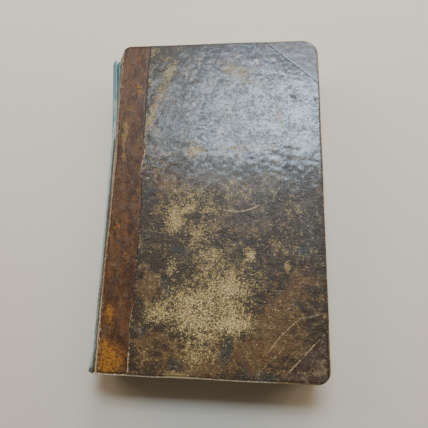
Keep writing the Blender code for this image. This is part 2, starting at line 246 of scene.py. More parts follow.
class Finish:
    """One material, its Principled shader and the nodes that feed it."""

    def __init__(self, name, roughness=0.6, specular=0.5):
        self.material = bpy.data.materials.new(name)
        self.material.use_nodes = True
        self.tree = self.material.node_tree
        self.shader = self.tree.nodes["Principled BSDF"]
        self.shader.inputs["Roughness"].default_value = roughness
        self.shader.inputs["Specular IOR Level"].default_value = specular

    def node(self, kind, settings=None, links=None, output=0):
        """The output of a new node, with its settings made first and then its sockets' values or links."""
        made = self.tree.nodes.new(kind)
        for key, value in (settings or {}).items():
            setattr(made, key, value)
        for key, value in (links or {}).items():
            if isinstance(value, Value):
                self.tree.links.new(value.socket, made.inputs[key])
            else:
                made.inputs[key].default_value = value
        return Value(self, made.outputs[output])

    def number(self, value):
        return self.node("ShaderNodeMath", {"operation": "ADD"}, {0: value, 1: 0.0})

    def vector(self, operation, *parts, output=0):
        return self.node("ShaderNodeVectorMath", {"operation": operation}, dict(enumerate(parts)), output)

    def turned(self, vector, angle):
        """A vector turned about Z by an angle in degrees."""
        links = {"Vector": vector, "Angle": math.radians(angle)}
        return self.node("ShaderNodeVectorRotate", {"rotation_type": "Z_AXIS"}, links)

    def place(self, origin=(0, 0, 0), stretch=(1, 1, 1)):
        """Object coordinates in millimetres from origin, stretched."""
        spot = self.vector("SUBTRACT", self.node("ShaderNodeTexCoord", output="Object"), tuple(origin))
        return self.vector("MULTIPLY", spot, scaled(stretch, 1 / MM))

    def axis(self, vector, name):
        return self.node("ShaderNodeSeparateXYZ", None, {"Vector": vector}, output=name)

    def attribute(self, name):
        return self.node("ShaderNodeAttribute", {"attribute_name": name}, output="Fac")

    def noise(self, vector, scale, detail=3.0, roughness=0.55, distortion=0.0, output="Fac"):
        links = {"Vector": vector, "Scale": scale, "Detail": detail, "Roughness": roughness}
        links["Distortion"] = distortion
        return self.node("ShaderNodeTexNoise", None, links, output)

    def cells(self, vector, scale):
        return self.node("ShaderNodeTexVoronoi", None, {"Vector": vector, "Scale": scale}, output="Distance")

    def bands(self, vector, direction, scale, distortion, detail=2.0):
        links = {"Vector": vector, "Scale": scale, "Distortion": distortion, "Detail": detail}
        return self.node("ShaderNodeTexWave", {"bands_direction": direction}, links)

    def mix(self, first, second, share):
        """A colour between two colours. The node's colour sockets are its last two inputs."""
        first, second = (part if isinstance(part, Value) else (*part, 1.0) for part in (first, second))
        return self.node("ShaderNodeMix", {"data_type": "RGBA"}, {0: share, 6: first, 7: second}, output=2)

    def feed(self, socket, value):
        self.tree.links.new(value.socket, self.shader.inputs[socket])

    def bump(self, *layers):
        """Feeds Normal with layers of (height, distance in millimetres), coarse ones first."""
        normal = None
        for height, distance in layers:
            links = {"Height": height, "Distance": distance * MM, "Strength": 1.0}
            if normal:
                links["Normal"] = normal
            normal = self.node("ShaderNodeBump", None, links)
        self.feed("Normal", normal)


def scaled(triple, amount):
    return tuple(part * amount for part in triple)


def smear(finish, spots):
    """The sum of soft oval spots, each (x, y, half width, half height, turn, strength), in mm and degrees."""
    total = 0.0
    for x, y, wide, high, turn, strength in spots:
        place = finish.vector("SUBTRACT", finish.warped, (x, y, 0))
        if turn:
            place = finish.turned(place, -turn)
        oval = finish.vector("MULTIPLY", place, (1 / wide, 1 / high, 0))
        total = total + finish.vector("LENGTH", oval, output="Value").ease(0.1, 1.6, strength, 0.0)
    return total


def streaks(finish, lines):
    """The sum of thin bowed lines, each (x, y, half length, half width, turn, bow, strength)."""
    total = 0.0
    for x, y, half_length, half_width, turn, bow, strength in lines:
        place = finish.turned(finish.vector("SUBTRACT", finish.wavy, (x, y, 0)), -turn)
        share = finish.axis(place, "X") / half_length
        off_line = (finish.axis(place, "Y") + bow * 0.5 - share * share * bow).size()
        line = off_line.ease(half_width * 0.3, half_width * 1.3, strength, 0.0)
        total = total + line * share.size().fade(0.6, 1.0)
    return total


# Mesh helpers


def deselect():
    if bpy.context.object and bpy.context.object.mode != "OBJECT":
        bpy.ops.object.mode_set(mode="OBJECT")
    bpy.ops.object.select_all(action="DESELECT")


def make_active(obj):
    deselect()
    obj.select_set(True)
    bpy.context.view_layer.objects.active = obj


def points_of(obj, what="co"):
    """Each vertex's place, or its normal, as rows of x, y and z."""
    flat = np.empty(len(obj.data.vertices) * 3, np.float64)
    obj.data.vertices.foreach_get(what, flat)
    return flat.reshape(-1, 3)


def set_points(obj, points):
    obj.data.vertices.foreach_set("co", np.asarray(points, np.float64).ravel())
    obj.data.update()


def normals_of(obj):
    return points_of(obj, "normal")


def step(value, low, high):
    """A smooth step from 0 to 1 as value goes from low to high."""
    share = np.clip((value - low) / (high - low), 0, 1)
    return share * share * (3 - 2 * share)


def waves(points, wavelength, seed, octaves=2):
    """Smooth noise from -1 to 1 at each point, with the given wavelength in metres."""
    offset = Vector((seed * 7.31, seed * 3.17, seed * 5.73))
    places = (Vector(point) / wavelength + offset for point in points)
    return np.array([noise.fractal(place, 0.5, 2.0, octaves) for place in places])


def clone(obj, name):
    made = obj.copy()
    made.data = obj.data.copy()
    made.name = made.data.name = name
    bpy.context.collection.objects.link(made)
    return made


def add_grid(name, columns, rows):
    """A grid of side 1 about the origin."""
    deselect()
    bpy.ops.mesh.primitive_grid_add(x_subdivisions=columns, y_subdivisions=rows, size=1)
    obj = bpy.context.object
    obj.name = obj.data.name = name
    return obj


@contextmanager
def editing(obj, kind=None, select="SELECT"):
    """Edit mode on obj, with all or nothing selected, and by vertices, edges or faces if kind says so."""
    make_active(obj)
    bpy.ops.object.mode_set(mode="EDIT")
    if kind:
        bpy.ops.mesh.select_mode(type=kind)
    bpy.ops.mesh.select_all(action=select)
    yield
    bpy.ops.object.mode_set(mode="OBJECT")


def select_rim():
    """In edit mode, selects a sheet's free edges."""
    others = {"use_wire": False, "use_multi_face": False, "use_non_contiguous": False}
    bpy.ops.mesh.select_non_manifold(extend=False, **others)


def turn_over(obj):
    with editing(obj):
        bpy.ops.mesh.flip_normals()


def bisect(obj, point, normal):
    """Cuts obj at a plane and clears what lies on the normal's side."""
    with editing(obj):
        bpy.ops.mesh.bisect(plane_co=point, plane_no=normal, clear_outer=True)


def modify(obj, kind, **settings):
    """Adds a modifier with these settings and applies it."""
    make_active(obj)
    bpy.ops.object.modifier_add(type=kind)
    modifier = obj.modifiers[-1]
    for key, value in settings.items():
        setattr(modifier, key, value)
    bpy.ops.object.modifier_apply(modifier=modifier.name)


def thicken(obj, thickness, offset=-1):
    modify(obj, "SOLIDIFY", thickness=thickness, offset=offset)


def crumple(obj, name, height, wavelength, depth):
    """Lifts and sinks the surface along its normals by up to half of height."""
    texture = bpy.data.textures.new(name, "CLOUDS")
    texture.noise_scale = wavelength
    texture.noise_depth = depth
    modify(obj, "DISPLACE", texture=texture, texture_coords="LOCAL", strength=height, mid_level=0.5)


def mark(obj, name, values):
    attribute = obj.data.attributes.new(name, "FLOAT", "POINT")
    attribute.data.foreach_set("value", np.asarray(values, np.float32))


def boundary_points(obj):
    """The places of the vertices on a sheet's free edges."""
    shape = bmesh.new()
    shape.from_mesh(obj.data)
    found = [vertex.co.copy() for vertex in shape.verts if vertex.is_boundary]
    shape.free()
    return found


def distance_to(points, places):
    tree = kdtree.KDTree(len(places))
    for index, place in enumerate(places):
        tree.insert(place, index)
    tree.balance()
    return np.array([tree.find(Vector(point))[2] for point in points])


def smooth_shade(obj, angle=40):
    make_active(obj)
    bpy.ops.object.shade_smooth_by_angle(angle=math.radians(angle))


def paint_with(obj, finish):
    obj.data.materials.clear()
    obj.data.materials.append(finish.material)


def finish_piece(obj, finish, body, slot, *nodes):
    """Gives a finished piece its material and its body, and hides the CAD nodes it stands for. Its slot is
    not used.
    """
    paint_with(obj, finish)
    if body:
        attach(obj, body)
    if nodes:
        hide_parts(*nodes)


# Covers

class CoverPlan:
    """Where one cover lies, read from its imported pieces.

    Both covers are modelled face up at the front cover's height, and the back one is then put in place.
    """

    def __init__(self, side):
        self.side = side
        strip_low, strip_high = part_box(f"{side}_spine_leather")
        head_low, head_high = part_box(f"{side}_head_corner")
        tail_low, tail_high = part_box(f"{side}_tail_corner")
        self.left, self.right = strip_low.x, head_high.x
        self.tail, self.head = strip_low.y, strip_high.y
        self.low, self.high = strip_low.z, strip_high.z
        self.strip_edge = strip_high.x
        self.thickness = self.high - self.low
        self.head_cut = ((head_low.x, self.head), (self.right, head_low.y))
        self.tail_cut = ((tail_low.x, self.tail), (self.right, tail_high.y))
        self.body = f"{side}_cover"
        self.seed = 1 + SIDES.index(side) * 4
        self.cell = sizes().front_cell if side == "front" else sizes().back_cell
        self.front = side == "front"
        self.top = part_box("front_spine_leather")[1].z
        leaf_low, leaf_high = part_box(f"{side}_flyleaf")
        self.inner_face, self.leaf_face = (self.low, leaf_high.z) if self.front else (self.high, leaf_low.z)

    def radii(self):
        """Corner radii by (right-hand side?, head end?)."""
        book = sizes()
        return {
            (False, False): book.tail_spine_radius,
            (False, True): book.head_spine_radius,
            (True, False): book.tail_fore_radius,
            (True, True): book.head_fore_radius,
        }

    def put_in_place(self, obj):
        """A piece modelled on the front cover's place goes to the back cover's by mirroring."""
        if self.front:
            return
        points = points_of(obj)
        points[:, 2] = self.low + (self.top - points[:, 2])
        set_points(obj, points)
        turn_over(obj)

    def spine_inset(self, y):
        """How far the leather has torn back from the joint at height y, in metres."""
        up = (y - self.tail) / MM
        wave = 2.4 * np.exp(-(((up - 212) / 42) ** 2)) + 1.4 * np.exp(-(((up - 150) / 30) ** 2))
        wave += 1.0 * np.exp(-(((up - 335) / 14) ** 2))
        return (0.6 + wave) * MM

    def by_spine(self, points, start=0.0):
        """1 at the joint and 0 from TORN_REACH of it on."""
        return 1 - step(points[:, 0] - self.left, start, TORN_REACH)


def round_corners(points, plan, inset):
    """Moves a rectangle's corners onto arcs, and returns the points and their outward directions."""
    moved = points.copy()
    outward = np.zeros_like(points)
    left, right = plan.left + inset, plan.right - inset
    tail, head = plan.tail + inset, plan.head - inset
    gaps = np.stack([points[:, 0] - left, right - points[:, 0], points[:, 1] - tail, head - points[:, 1]])
    nearest = gaps.argmin(axis=0)
    for side, direction in enumerate(((-1, 0), (1, 0), (0, -1), (0, 1))):
        outward[nearest == side, :2] = direction
    for (at_right, at_head), full_radius in plan.radii().items():
        radius = max(full_radius - inset, 0.2 * MM)
        centre_x = right - radius if at_right else left + radius
        centre_y = head - radius if at_head else tail + radius
        u = (points[:, 0] - centre_x) / radius * (1 if at_right else -1)
        v = (points[:, 1] - centre_y) / radius * (1 if at_head else -1)
        zone = (u > 0) & (v > 0)
        u, v = np.clip(u[zone], 0, 1), np.clip(v[zone], 0, 1)
        round_u, round_v = u * np.sqrt(1 - v * v / 2), v * np.sqrt(1 - u * u / 2)
        sign_x, sign_y = (1 if at_right else -1), (1 if at_head else -1)
        moved[zone, 0] = centre_x + sign_x * round_u * radius
        moved[zone, 1] = centre_y + sign_y * round_v * radius
        reach = np.maximum(np.hypot(round_u, round_v), 1e-9)
        outward[zone, 0] = sign_x * round_u / reach
        outward[zone, 1] = sign_y * round_v / reach
    return moved, outward


def edge_profile(plan, inset, turn_in):
    """Steps (out, down) from the face's rim, round the edge and back in over the inner face."""
    radius = sizes().edge_radius
    depth = plan.thickness - 2 * inset
    quarter = [math.radians(angle) for angle in (22.5, 45, 67.5, 90)]
    steps = [(radius * math.sin(a), radius * (1 - math.cos(a))) for a in quarter]
    steps += [(radius, depth * share) for share in (0.4, 0.6)]
    steps += [(radius * math.cos(a), depth - radius * (1 - math.sin(a))) for a in [0] + quarter]
    steps += [(-turn_in * share, depth) for share in (0.15, 0.4, 0.7, 1.0)]
    return steps


def folded_sheet(name, plan, inset, turn_in, cell):
    """A sheet over the outer face, folded round every edge, turned in, and inset from the cover's outside."""
    radius = sizes().edge_radius
    flat_inset = inset + radius
    wide = plan.right - plan.left - 2 * flat_inset
    high = plan.head - plan.tail - 2 * flat_inset
    sheet = add_grid(name, round(wide / cell), round(high / cell))
    points = points_of(sheet)
    points[:, 0] = plan.left + flat_inset + (points[:, 0] + 0.5) * wide
    points[:, 1] = plan.tail + flat_inset + (points[:, 1] + 0.5) * high
    points[:, 2] = plan.top - inset
    moved, outward = round_corners(points, plan, flat_inset)
    set_points(sheet, moved)
    for key, values in zip(RIM_LAYERS, (moved, outward)):
        layer = sheet.data.attributes.new(key, "FLOAT_VECTOR", "POINT")
        layer.data.foreach_set("vector", values.astype(np.float32).ravel())
    with editing(sheet, "EDGE", "DESELECT"):
        select_rim()
        for out, down in edge_profile(plan, inset, turn_in):
            bpy.ops.mesh.extrude_edges_move()
            shape = bmesh.from_edit_mesh(sheet.data)
            place, outward = (shape.verts.layers.float_vector[name] for name in RIM_LAYERS)
            for vertex in shape.verts:
                if vertex.select:
                    vertex.co = vertex[place] + vertex[outward] * out + Vector((0, 0, -down))
            bmesh.update_edit_mesh(sheet.data)
    return sheet


def forget_rim(sheet):
    for name in RIM_LAYERS:
        sheet.data.attributes.remove(sheet.data.attributes[name])


def wander(plan, points):
    """The cover's slow irregularity: a bowed outline and a slightly warped face."""
    moved = points.copy()
    across = (points[:, 0] - plan.left) / (plan.right - plan.left)
    along = (points[:, 1] - plan.tail) / (plan.head - plan.tail)
    flat = points * (1, 1, 0)
    moved[:, 0] -= 0.9 * MM * (0.5 + 0.5 * waves(flat, 70 * MM, plan.seed)) * across
    sag = 1.7 * (1 - across) + 0.5 + 0.5 * waves(flat, 45 * MM, plan.seed + 1)
    moved[:, 1] += sag * MM * (1 - step(along, 0, 0.16))
    rise = 2.0 * (1 - across) + 0.2 + 0.4 * waves(flat, 60 * MM, plan.seed + 2)
    moved[:, 1] += rise * MM * step(along, 0.85, 1)
    moved[:, 2] += 0.22 * MM * (waves(flat, 80 * MM, plan.seed + 3) - 1)
    return moved


def line_frame(cut, towards):
    """A point on a cut line, and the unit direction across it that points towards a place."""
    (x0, y0), (x1, y1) = cut
    across = np.array([y1 - y0, x0 - x1])
    across /= np.linalg.norm(across)
    if across @ (np.array(towards) - (x0, y0)) < 0:
        across = -across
    return np.array([x0, y0]), across


class CoverMaker:
    """Cuts one cover's pieces from folded sheets."""

    def __init__(self, side):
        self.plan = CoverPlan(side)
        self.sheet = None

    def base(self):
        """The sheet that every covering is cut from, without its fold at the joint."""
        plan = self.plan
        sheet = folded_sheet(f"{plan.side}_sheet", plan, 0.0, sizes().turn_in, plan.cell)
        with editing(sheet, "FACE", "DESELECT"):
            shape = bmesh.from_edit_mesh(sheet.data)
            outward = shape.verts.layers.float_vector["rim_outward"]
            flat = plan.top - 1e-6
            for face in shape.faces:
                folded = min(vertex.co.z for vertex in face.verts) < flat
                face.select = folded and all(vertex[outward].x < -0.9 for vertex in face.verts)
            bmesh.update_edit_mesh(sheet.data)
            bpy.ops.mesh.delete(type="FACE")
        points = points_of(sheet)
        joint_gap = points[:, 0] - plan.left
        near = plan.by_spine(points, sizes().edge_radius)
        points[:, 0] -= near * (joint_gap > sizes().edge_radius * 0.99) * sizes().edge_radius * 0.98
        points[:, 0] += near * plan.spine_inset(points[:, 1])
        fray = waves(points * (1, 1, 0), 3.0 * MM, plan.seed + 9, 3)
        points[:, 0] += (1 - step(joint_gap, 1 * MM, 4 * MM)) * (0.45 + 0.55 * fray) * MM
        set_points(sheet, points)
        return sheet

    def settle(self, obj, lift, thickness):
        """Sets a covering's height along its normals, gives it the cover's irregularity and its thickness."""
        plan = self.plan
        points = points_of(obj)
        edges = boundary_points(obj)
        set_points(obj, points + normals_of(obj) * lift(points)[:, None])
        points = points_of(obj)
        set_points(obj, wander(plan, points))
        if plan.front:
            crumple(obj, f"{obj.name}_ripple", 0.30 * MM, 5.5 * MM, 3)
        x, y = points[:, 0], points[:, 1]
        rim = np.minimum.reduce([x - plan.left, plan.right - x, y - plan.tail, plan.head - y])
        mark(obj, "free_edge", distance_to(points, edges) / MM)
        mark(obj, "rim", rim / MM)
        thicken(obj, thickness)
        forget_rim(obj)
        plan.put_in_place(obj)
        smooth_shade(obj, 60)
        return obj

    def cut_lines(self):
        """The side paper's cut edges: a point on each, the direction into the paper, and how it strays."""
        plan, overlap = self.plan, sizes().overlap

        def beside_spine(points):
            up = (points[:, 1] - plan.tail) / MM
            bulge = 1.9 * np.exp(-(((up - 140) / 62) ** 4))
            tongues = 2.4 * np.exp(-(((up - 66) / 4) ** 2)) + 2.2 * np.exp(-(((up - 222) / 8) ** 2))
            nibbled = 0.8 * waves(points * (0, 1, 0), 14 * MM, plan.seed + 20, 4)
            return (0.9 + bulge + tongues + nibbled) * MM

        def beside_corner(points):
            return 0.4 * MM * (1 + waves(points * (1, 1, 0), 9 * MM, plan.seed + 21, 3))

        middle = ((plan.left + plan.right) / 2, (plan.tail + plan.head) / 2)
        seam = np.array([plan.strip_edge - overlap, 0])
        lines = {"spine": (seam, np.array([1.0, 0.0]), beside_spine)}
        for end, cut in (("head", plan.head_cut), ("tail", plan.tail_cut)):
            start, across = line_frame(cut, middle)
            lines[end] = (start - across * overlap * 0.2, across, beside_corner)
        return lines

    def paper(self):
        plan = self.plan
        paper = clone(self.sheet, f"{plan.side}_marbled_side")
        for start, across, stray in self.cut_lines().values():
            bisect(paper, (*start, 0), (*-across, 0))
            points = points_of(paper)
            near = 1 - step(np.abs((points[:, :2] - start) @ across), 0, 7 * MM)
            points[:, :2] += np.outer(near * stray(points), across)
            set_points(paper, points)
        return self.settle(paper, lambda points: np.full(len(points), -0.02 * MM), sizes().paper_thickness)

    def leather(self, name, line):
        """A leather covering. It runs on under the paper's edge, where it is pared thin."""
        start, across, stray = self.cut_lines()[line]
        leather = clone(self.sheet, name)
        bisect(leather, (*(start + across * PARED_LEATHER), 0), (*across, 0))

        def lift(points):
            under = (points[:, :2] - start) @ across - stray(points)
            return -0.16 * MM - 0.30 * MM * step(under, -0.2 * MM, 2.0 * MM)

        return self.settle(leather, lift, sizes().leather_thickness)

    def board(self):
        """The board under the coverings, closed on its inner face."""
        plan, book = self.plan, sizes()
        board = folded_sheet(f"{plan.side}_millboard", plan, book.board_inset, 2 * MM, 3 * MM)
        with editing(board, "EDGE", "DESELECT"):
            select_rim()
            bpy.ops.mesh.edge_face_add()
        points = points_of(board)
        points[:, 0] += plan.by_spine(points) * (plan.spine_inset(points[:, 1]) - 0.75 * MM)
        set_points(board, wander(plan, points))
        forget_rim(board)
        plan.put_in_place(board)
        smooth_shade(board, 60)
        return board

    def pastedown(self):
        """The endpaper over the inner face: the turn-ins show through it as a low ridge."""
        plan = self.plan
        left, right = plan.left + 0.2 * MM, plan.right - PASTEDOWN_MARGIN
        tail, head = plan.tail + PASTEDOWN_MARGIN, plan.head - PASTEDOWN_MARGIN
        sheet = add_grid(f"{plan.side}_endpaper_pastedown", 80, 130)
        points = points_of(sheet)
        points[:, 0] = left + (points[:, 0] + 0.5) * (right - left)
        points[:, 1] = tail + (points[:, 1] + 0.5) * (head - tail)
        x, y = points[:, 0], points[:, 1]
        inside = np.minimum.reduce([plan.right - x, y - plan.tail, plan.head - y])
        hollow = step(inside, sizes().turn_in + 2.5 * MM, sizes().turn_in + 5.5 * MM)
        points[:, 0] += plan.by_spine(points) * (plan.spine_inset(points[:, 1]) + 0.3 * MM)
        inner = plan.top - plan.thickness
        cockle = waves(points, 30 * MM, plan.seed + 30)
        points[:, 2] = inner - 0.38 * MM + (0.53 + 0.12 * cockle) * MM * hollow
        set_points(sheet, points)
        mark(sheet, "free_edge", np.minimum(inside - PASTEDOWN_MARGIN, 40 * MM) / MM)
        turn_over(sheet)
        thicken(sheet, ENDPAPER_THICKNESS)
        plan.put_in_place(sheet)
        smooth_shade(sheet)
        return sheet


# Finishes

class Wear(NamedTuple):
    """The worn places of one marbled side, and the places of its painted sheen, as smear and streaks take
    them.
    """

    rubs: tuple
    tans: tuple
    warm: tuple
    blue: tuple
    pits: tuple
    scratches: tuple
    frayed_edges: tuple
    haze: tuple = ()
    tail_chafing: float = 0.4


# Spots are (x, y, half width, half height, turn, strength), and scratches are (x, y, half length,
# half width, turn, bow, strength), in mm from the cover's tail and spine corner and in degrees
FRONT_WEAR = Wear(
    rubs=(
        (108, 72, 44, 30, 0, 0.46), (134, 50, 17, 10, 10, 0.50), (126, 84, 14, 9, 0, 0.34),
        (82, 58, 30, 20, -15, 0.32), (54, 56, 13, 10, 0, 0.42), (104, 46, 34, 13, 0, 0.24),
        (68, 102, 7, 9, 0, 0.50), (68, 148, 9, 15, 0, 0.55), (84, 160, 9, 4, 20, 0.45),
        (104, 138, 12, 10, 0, 0.44), (90, 112, 16, 7, 0, 0.30), (92, 130, 26, 9, -48, 0.42),
        (112, 114, 8, 9, 0, 0.34), (108, 158, 14, 7, 0, 0.46), (82, 166, 30, 12, 20, 0.30),
        (144, 114, 5.5, 6.5, 0, 0.75), (184, 162, 9, 16, 30, 0.26), (174, 128, 12, 14, 0, 0.22),
        (130, 96, 30, 36, -30, 0.18), (120, 180, 50, 12, 0, 0.22), (86, 222, 11, 10, 0, 0.50),
        (62, 210, 18, 14, 0, 0.26), (102, 20, 34, 12, 0, 0.20), (150, 258, 50, 40, 0, 0.14),
        (96, 26, 17, 12, 0, 0.30),
    ),
    # Grey haze over the middle of the side: part dust, part painted sheen just below and beside the window's
    # reflection
    haze=(
        (140, 190, 58, 17, 0, 0.75), (150, 156, 34, 18, 0, 0.55), (100, 196, 32, 16, 0, 0.45),
        (196, 150, 14, 40, 0, 0.40), (120, 122, 50, 20, 0, 0.25),
    ),
    tans=(
        (144, 223, 50, 6, 0, 0.62), (86, 222, 10, 9, 0, 0.60), (174, 258, 5, 14, 0, 0.80),
        (128, 314, 22, 8, -14, 0.85), (140, 298, 22, 8, -10, 0.60), (104, 300, 6, 10, 0, 0.40),
        (57, 314, 7, 15, -27, 0.95), (47, 287, 7, 16, -22, 0.95), (38, 258, 6, 18, -12, 1.0),
        (37, 338, 3, 8, 0, 0.85), (53, 330, 5, 5, 0, 0.60), (36, 228, 2.5, 12, 0, 0.60),
        (178, 104, 4, 6, 8, 1.15), (144, 114, 5, 6, 0, 0.55), (108, 66, 36, 24, 0, 0.26),
        (60, 58, 12, 10, 0, 0.34), (70, 150, 9, 9, 0, 0.34), (160, 190, 40, 6, 5, 0.22),
        (190, 150, 16, 30, 0, 0.18), (77, 4, 12, 3.5, 0, 1.2), (92, 2, 12, 2, 0, 0.8),
    ),
    warm=(
        (170, 52, 24, 26, 0, 0.75), (156, 27, 22, 14, 25, 0.75), (48, 82, 13, 16, 0, 0.85),
        (52, 35, 14, 10, 0, 0.70), (95, 16, 30, 12, 0, 0.75), (190, 88, 22, 20, 0, 0.45),
        (60, 182, 18, 20, 0, 0.40), (110, 20, 90, 22, 0, 0.35), (120, 140, 60, 26, 0, 0.20),
    ),
    blue=(
        (79, 119, 17, 4, -8, 0.95), (66, 78, 6, 18, 15, 0.95), (44, 40, 6, 9, 0, 0.85),
        (78, 13, 9, 8, 0, 0.95), (122, 24, 7, 16, -10, 0.95), (140, 12, 6, 10, 0, 0.60),
        (158, 5, 15, 5, 0, 0.95), (101, 32, 7, 9, 0, 0.80), (193, 118, 9, 6, 0, 0.95),
        (187, 70, 5, 5, 0, 0.90), (39, 92, 3.5, 3, 30, 1.2), (44, 130, 9, 18, 0, 0.55),
        (42, 178, 8, 16, 0, 0.75), (58, 252, 18, 12, -30, 0.95), (70, 330, 10, 18, -10, 0.95),
        (42, 305, 5, 14, 0, 0.60), (147, 337, 14, 7, 0, 0.90), (110, 340, 90, 6, 0, 0.60),
        (120, 197, 70, 4.5, 2, 0.75), (182, 186, 22, 13, 0, 0.60), (204, 140, 14, 50, 0, 0.55),
        (88, 252, 8, 20, 20, 0.55), (158, 176, 14, 9, 0, 0.50),
    ),
    pits=(
        (189, 279, 3.6, 2.0, -25, 1.4), (211, 276, 2.4, 2.4, 0, 1.4), (39, 92, 4.0, 2.0, 35, 1.3),
        (48, 290, 10, 26, -20, 0.32), (44, 316, 8, 14, 0, 0.35),
    ),
    scratches=(
        (136, 160, 21, 0.85, 8, 4.5, 1.4), (176, 43, 24, 0.45, 45, -2.5, 0.9),
        (200, 59, 11, 0.40, 14, -0.5, 0.8), (168, 25, 12, 0.35, 46, 1.0, 0.7),
        (155, 12, 9, 0.45, 48, 0.0, 0.5), (72, 175, 7, 0.45, -60, 1.0, 0.8),
        (66, 176, 6, 0.45, 60, 0.0, 0.6), (40, 192, 2.6, 0.90, 0, 0.2, 1.2),
        (64, 250, 10, 0.50, 78, 1.0, 0.6), (82, 292, 13, 0.50, 62, 1.0, 0.6),
        (60, 268, 12, 0.45, 68, -1.0, 0.5), (152, 90, 12, 0.40, -14, 0.0, 0.5),
        (52, 136, 14, 0.45, -6, 0.6, 0.4), (170, 176, 9, 0.45, 60, 0.0, 0.4),
        (95, 196, 50, 0.45, 1, 0.5, -0.6), (178, 212, 36, 0.45, -3, 0.5, 0.35),
        (196, 256, 12, 0.40, 4, 0.0, 0.4),
    ),
    frayed_edges=(
        (34, 16, 8, 26, 0, 0.75), (35, 55, 8, 16, 0, 0.6), (34, 100, 8, 32, 0, 0.35),
        (34, 150, 8, 20, 0, 0.45), (36, 212, 8, 22, 0, 0.95), (192, 26, 40, 8, 46, 0.85),
        (73, 4, 14, 3, 0, 0.9),
    ),
    tail_chafing=0.95,
)
BACK_WEAR = Wear(
    rubs=(
        (110, 170, 50, 70, 10, 0.42), (60, 80, 22, 34, 0, 0.40), (170, 280, 26, 34, 0, 0.44),
        (150, 60, 34, 16, 20, 0.36),
    ),
    tans=(
        (50, 290, 6, 24, -15, 0.9), (120, 160, 30, 26, 0, 0.4),
    ),
    warm=(
        (120, 60, 50, 40, 0, 0.7), (70, 280, 34, 40, 0, 0.7), (190, 160, 24, 50, 0, 0.5),
    ),
    blue=(
        (160, 210, 30, 40, 0, 0.8), (60, 190, 16, 40, 0, 0.7), (120, 320, 50, 10, 0, 0.7),
    ),
    pits=(
        (60, 300, 3, 2, 20, 1.2),
    ),
    frayed_edges=(
        (34, 170, 8, 130, 0, 0.7), (110, 4, 60, 3, 0, 0.6),
    ),
    scratches=(
        (90, 130, 26, 0.6, 30, 3, 0.8), (150, 250, 20, 0.5, -50, 1, 0.7), (70, 240, 14, 0.5, 12, 0, 0.5),
    ),
)
LEATHER_ORANGE = (
    (12, 57, 5.5, 9.5, 0, 0.95), (23, 66, 3.5, 4, 0, 0.55), (8, 26, 9, 14, 0, 0.70),
    (20, 18, 13, 12, 30, 0.75), (12, 8, 14, 8, 0, 0.60), (24, 110, 3.0, 6, 0, 0.50),
    (12, 105, 3.5, 5, 0, 0.42), (11, 142, 4, 9, 0, 0.45), (24, 296, 6, 5, 20, 0.45),
    (25, 289, 4, 4, 0, 0.75), (14, 271, 4.5, 6, 0, 0.65), (15, 300, 8, 14, 0, 0.25),
    (20, 150, 7, 60, 0, 0.18),
)
LEATHER_OLIVE = (
    (12, 240, 2.6, 19, 0, 1.25), (13, 214, 2.4, 6, 0, 0.8), (9, 108, 3, 5, 0, 0.5),
    (22, 66, 4, 4, 0, 0.6), (5, 308, 2.0, 30, 0, 0.5),
)
CORNER_SCUFFS = (
    (206, 14, 6, 8, 0, 0.75), (194, 9, 12, 5, 15, 0.55), (210, 26, 3, 9, 0, 0.6),
    (201, 28, 6, 4, 40, 0.35),
)


def cover_finish(name, plan, **settings):
    """A finish with the cover's places in mm: flat is a point on the face, and warped is flat, unsteadily."""
    finish = Finish(name, **settings)
    finish.spot = finish.place((plan.left, plan.tail, 0))
    finish.flat = finish.vector("MULTIPLY", finish.spot, (1, 1, 0))
    wide = finish.noise(finish.spot, 0.13, 3, 0.6, output="Color")
    close = finish.noise(finish.spot, 0.5, 2, 0.6, output="Color")
    drift = finish.vector("MULTIPLY_ADD", wide, (9, 9, 0), (-4.5, -4.5, 0))
    tremble = finish.vector("MULTIPLY_ADD", close, (2.4, 2.4, 0), (-1.2, -1.2, 0))
    finish.wavy = finish.vector("ADD", finish.flat, finish.vector("MULTIPLY", drift, (0.35, 0.35, 0)))
    finish.warped = finish.vector("ADD", finish.flat, finish.vector("ADD", drift, tremble))
    return finish


def turned_in(finish, plan):
    """1 on the folded-in strip of a cover's inner face and 0 on its outside."""
    height = finish.axis(finish.spot, "Z") - plan.low / MM
    thickness = plan.thickness / MM
    past_middle = 0.62 * thickness - height if plan.front else height - 0.38 * thickness
    return past_middle.ease(0, 0.27 * thickness)


def tail_rim(finish, stray, low, high):
    """1 along the tail's rim, as far in as a straying distance in mm allows."""
    past_tail = (finish.axis(finish.spot, "Y") - 6).ease(0, 6) * 9
    return (finish.attribute("rim") + stray + past_tail).fade(low, high)


def marbled_pattern(finish, wear):
    """The unworn pattern: brown, olive and maroon on black, with gold flecks and blue clouds."""
    tint, cloud, blot, speck, pitted = colours(), finish.cloud, finish.blot, finish.speck, finish.pitted
    warm = smear(finish, wear.warm) + (cloud - 0.5) * 2.2 + (blot - 0.5) * 1.6
    blue = smear(finish, wear.blue) + (blot - 0.5) * 2.2 + (pitted - 0.5) * 2.0
    hue = finish.noise(finish.place((0, 0, 70)), 0.07, 2, 0.5) - 0.5
    olive = finish.mix(tint.paper_brown, tint.paper_olive, hue.ease(-0.10, 0.04))
    brown = finish.mix(olive, tint.paper_maroon, hue.ease(0.04, 0.16) * 0.7)
    paint = finish.mix(tint.paper_black, brown, warm.ease(0.0, 0.60))
    gold = (warm * 0.6 + (speck - 0.5) * 3.0 + (blot - 0.5) * 2.0).ease(0.45, 0.95)
    paint = finish.mix(paint, tint.paper_gold, gold * 0.45)
    paint = finish.mix(paint, tint.paper_blue, blue.ease(0.20, 0.90) * 0.72)
    return finish.mix(paint, scaled(tint.paper_black, 0.55), (pitted - 0.5).ease(0.06, 0.13) * 0.75)


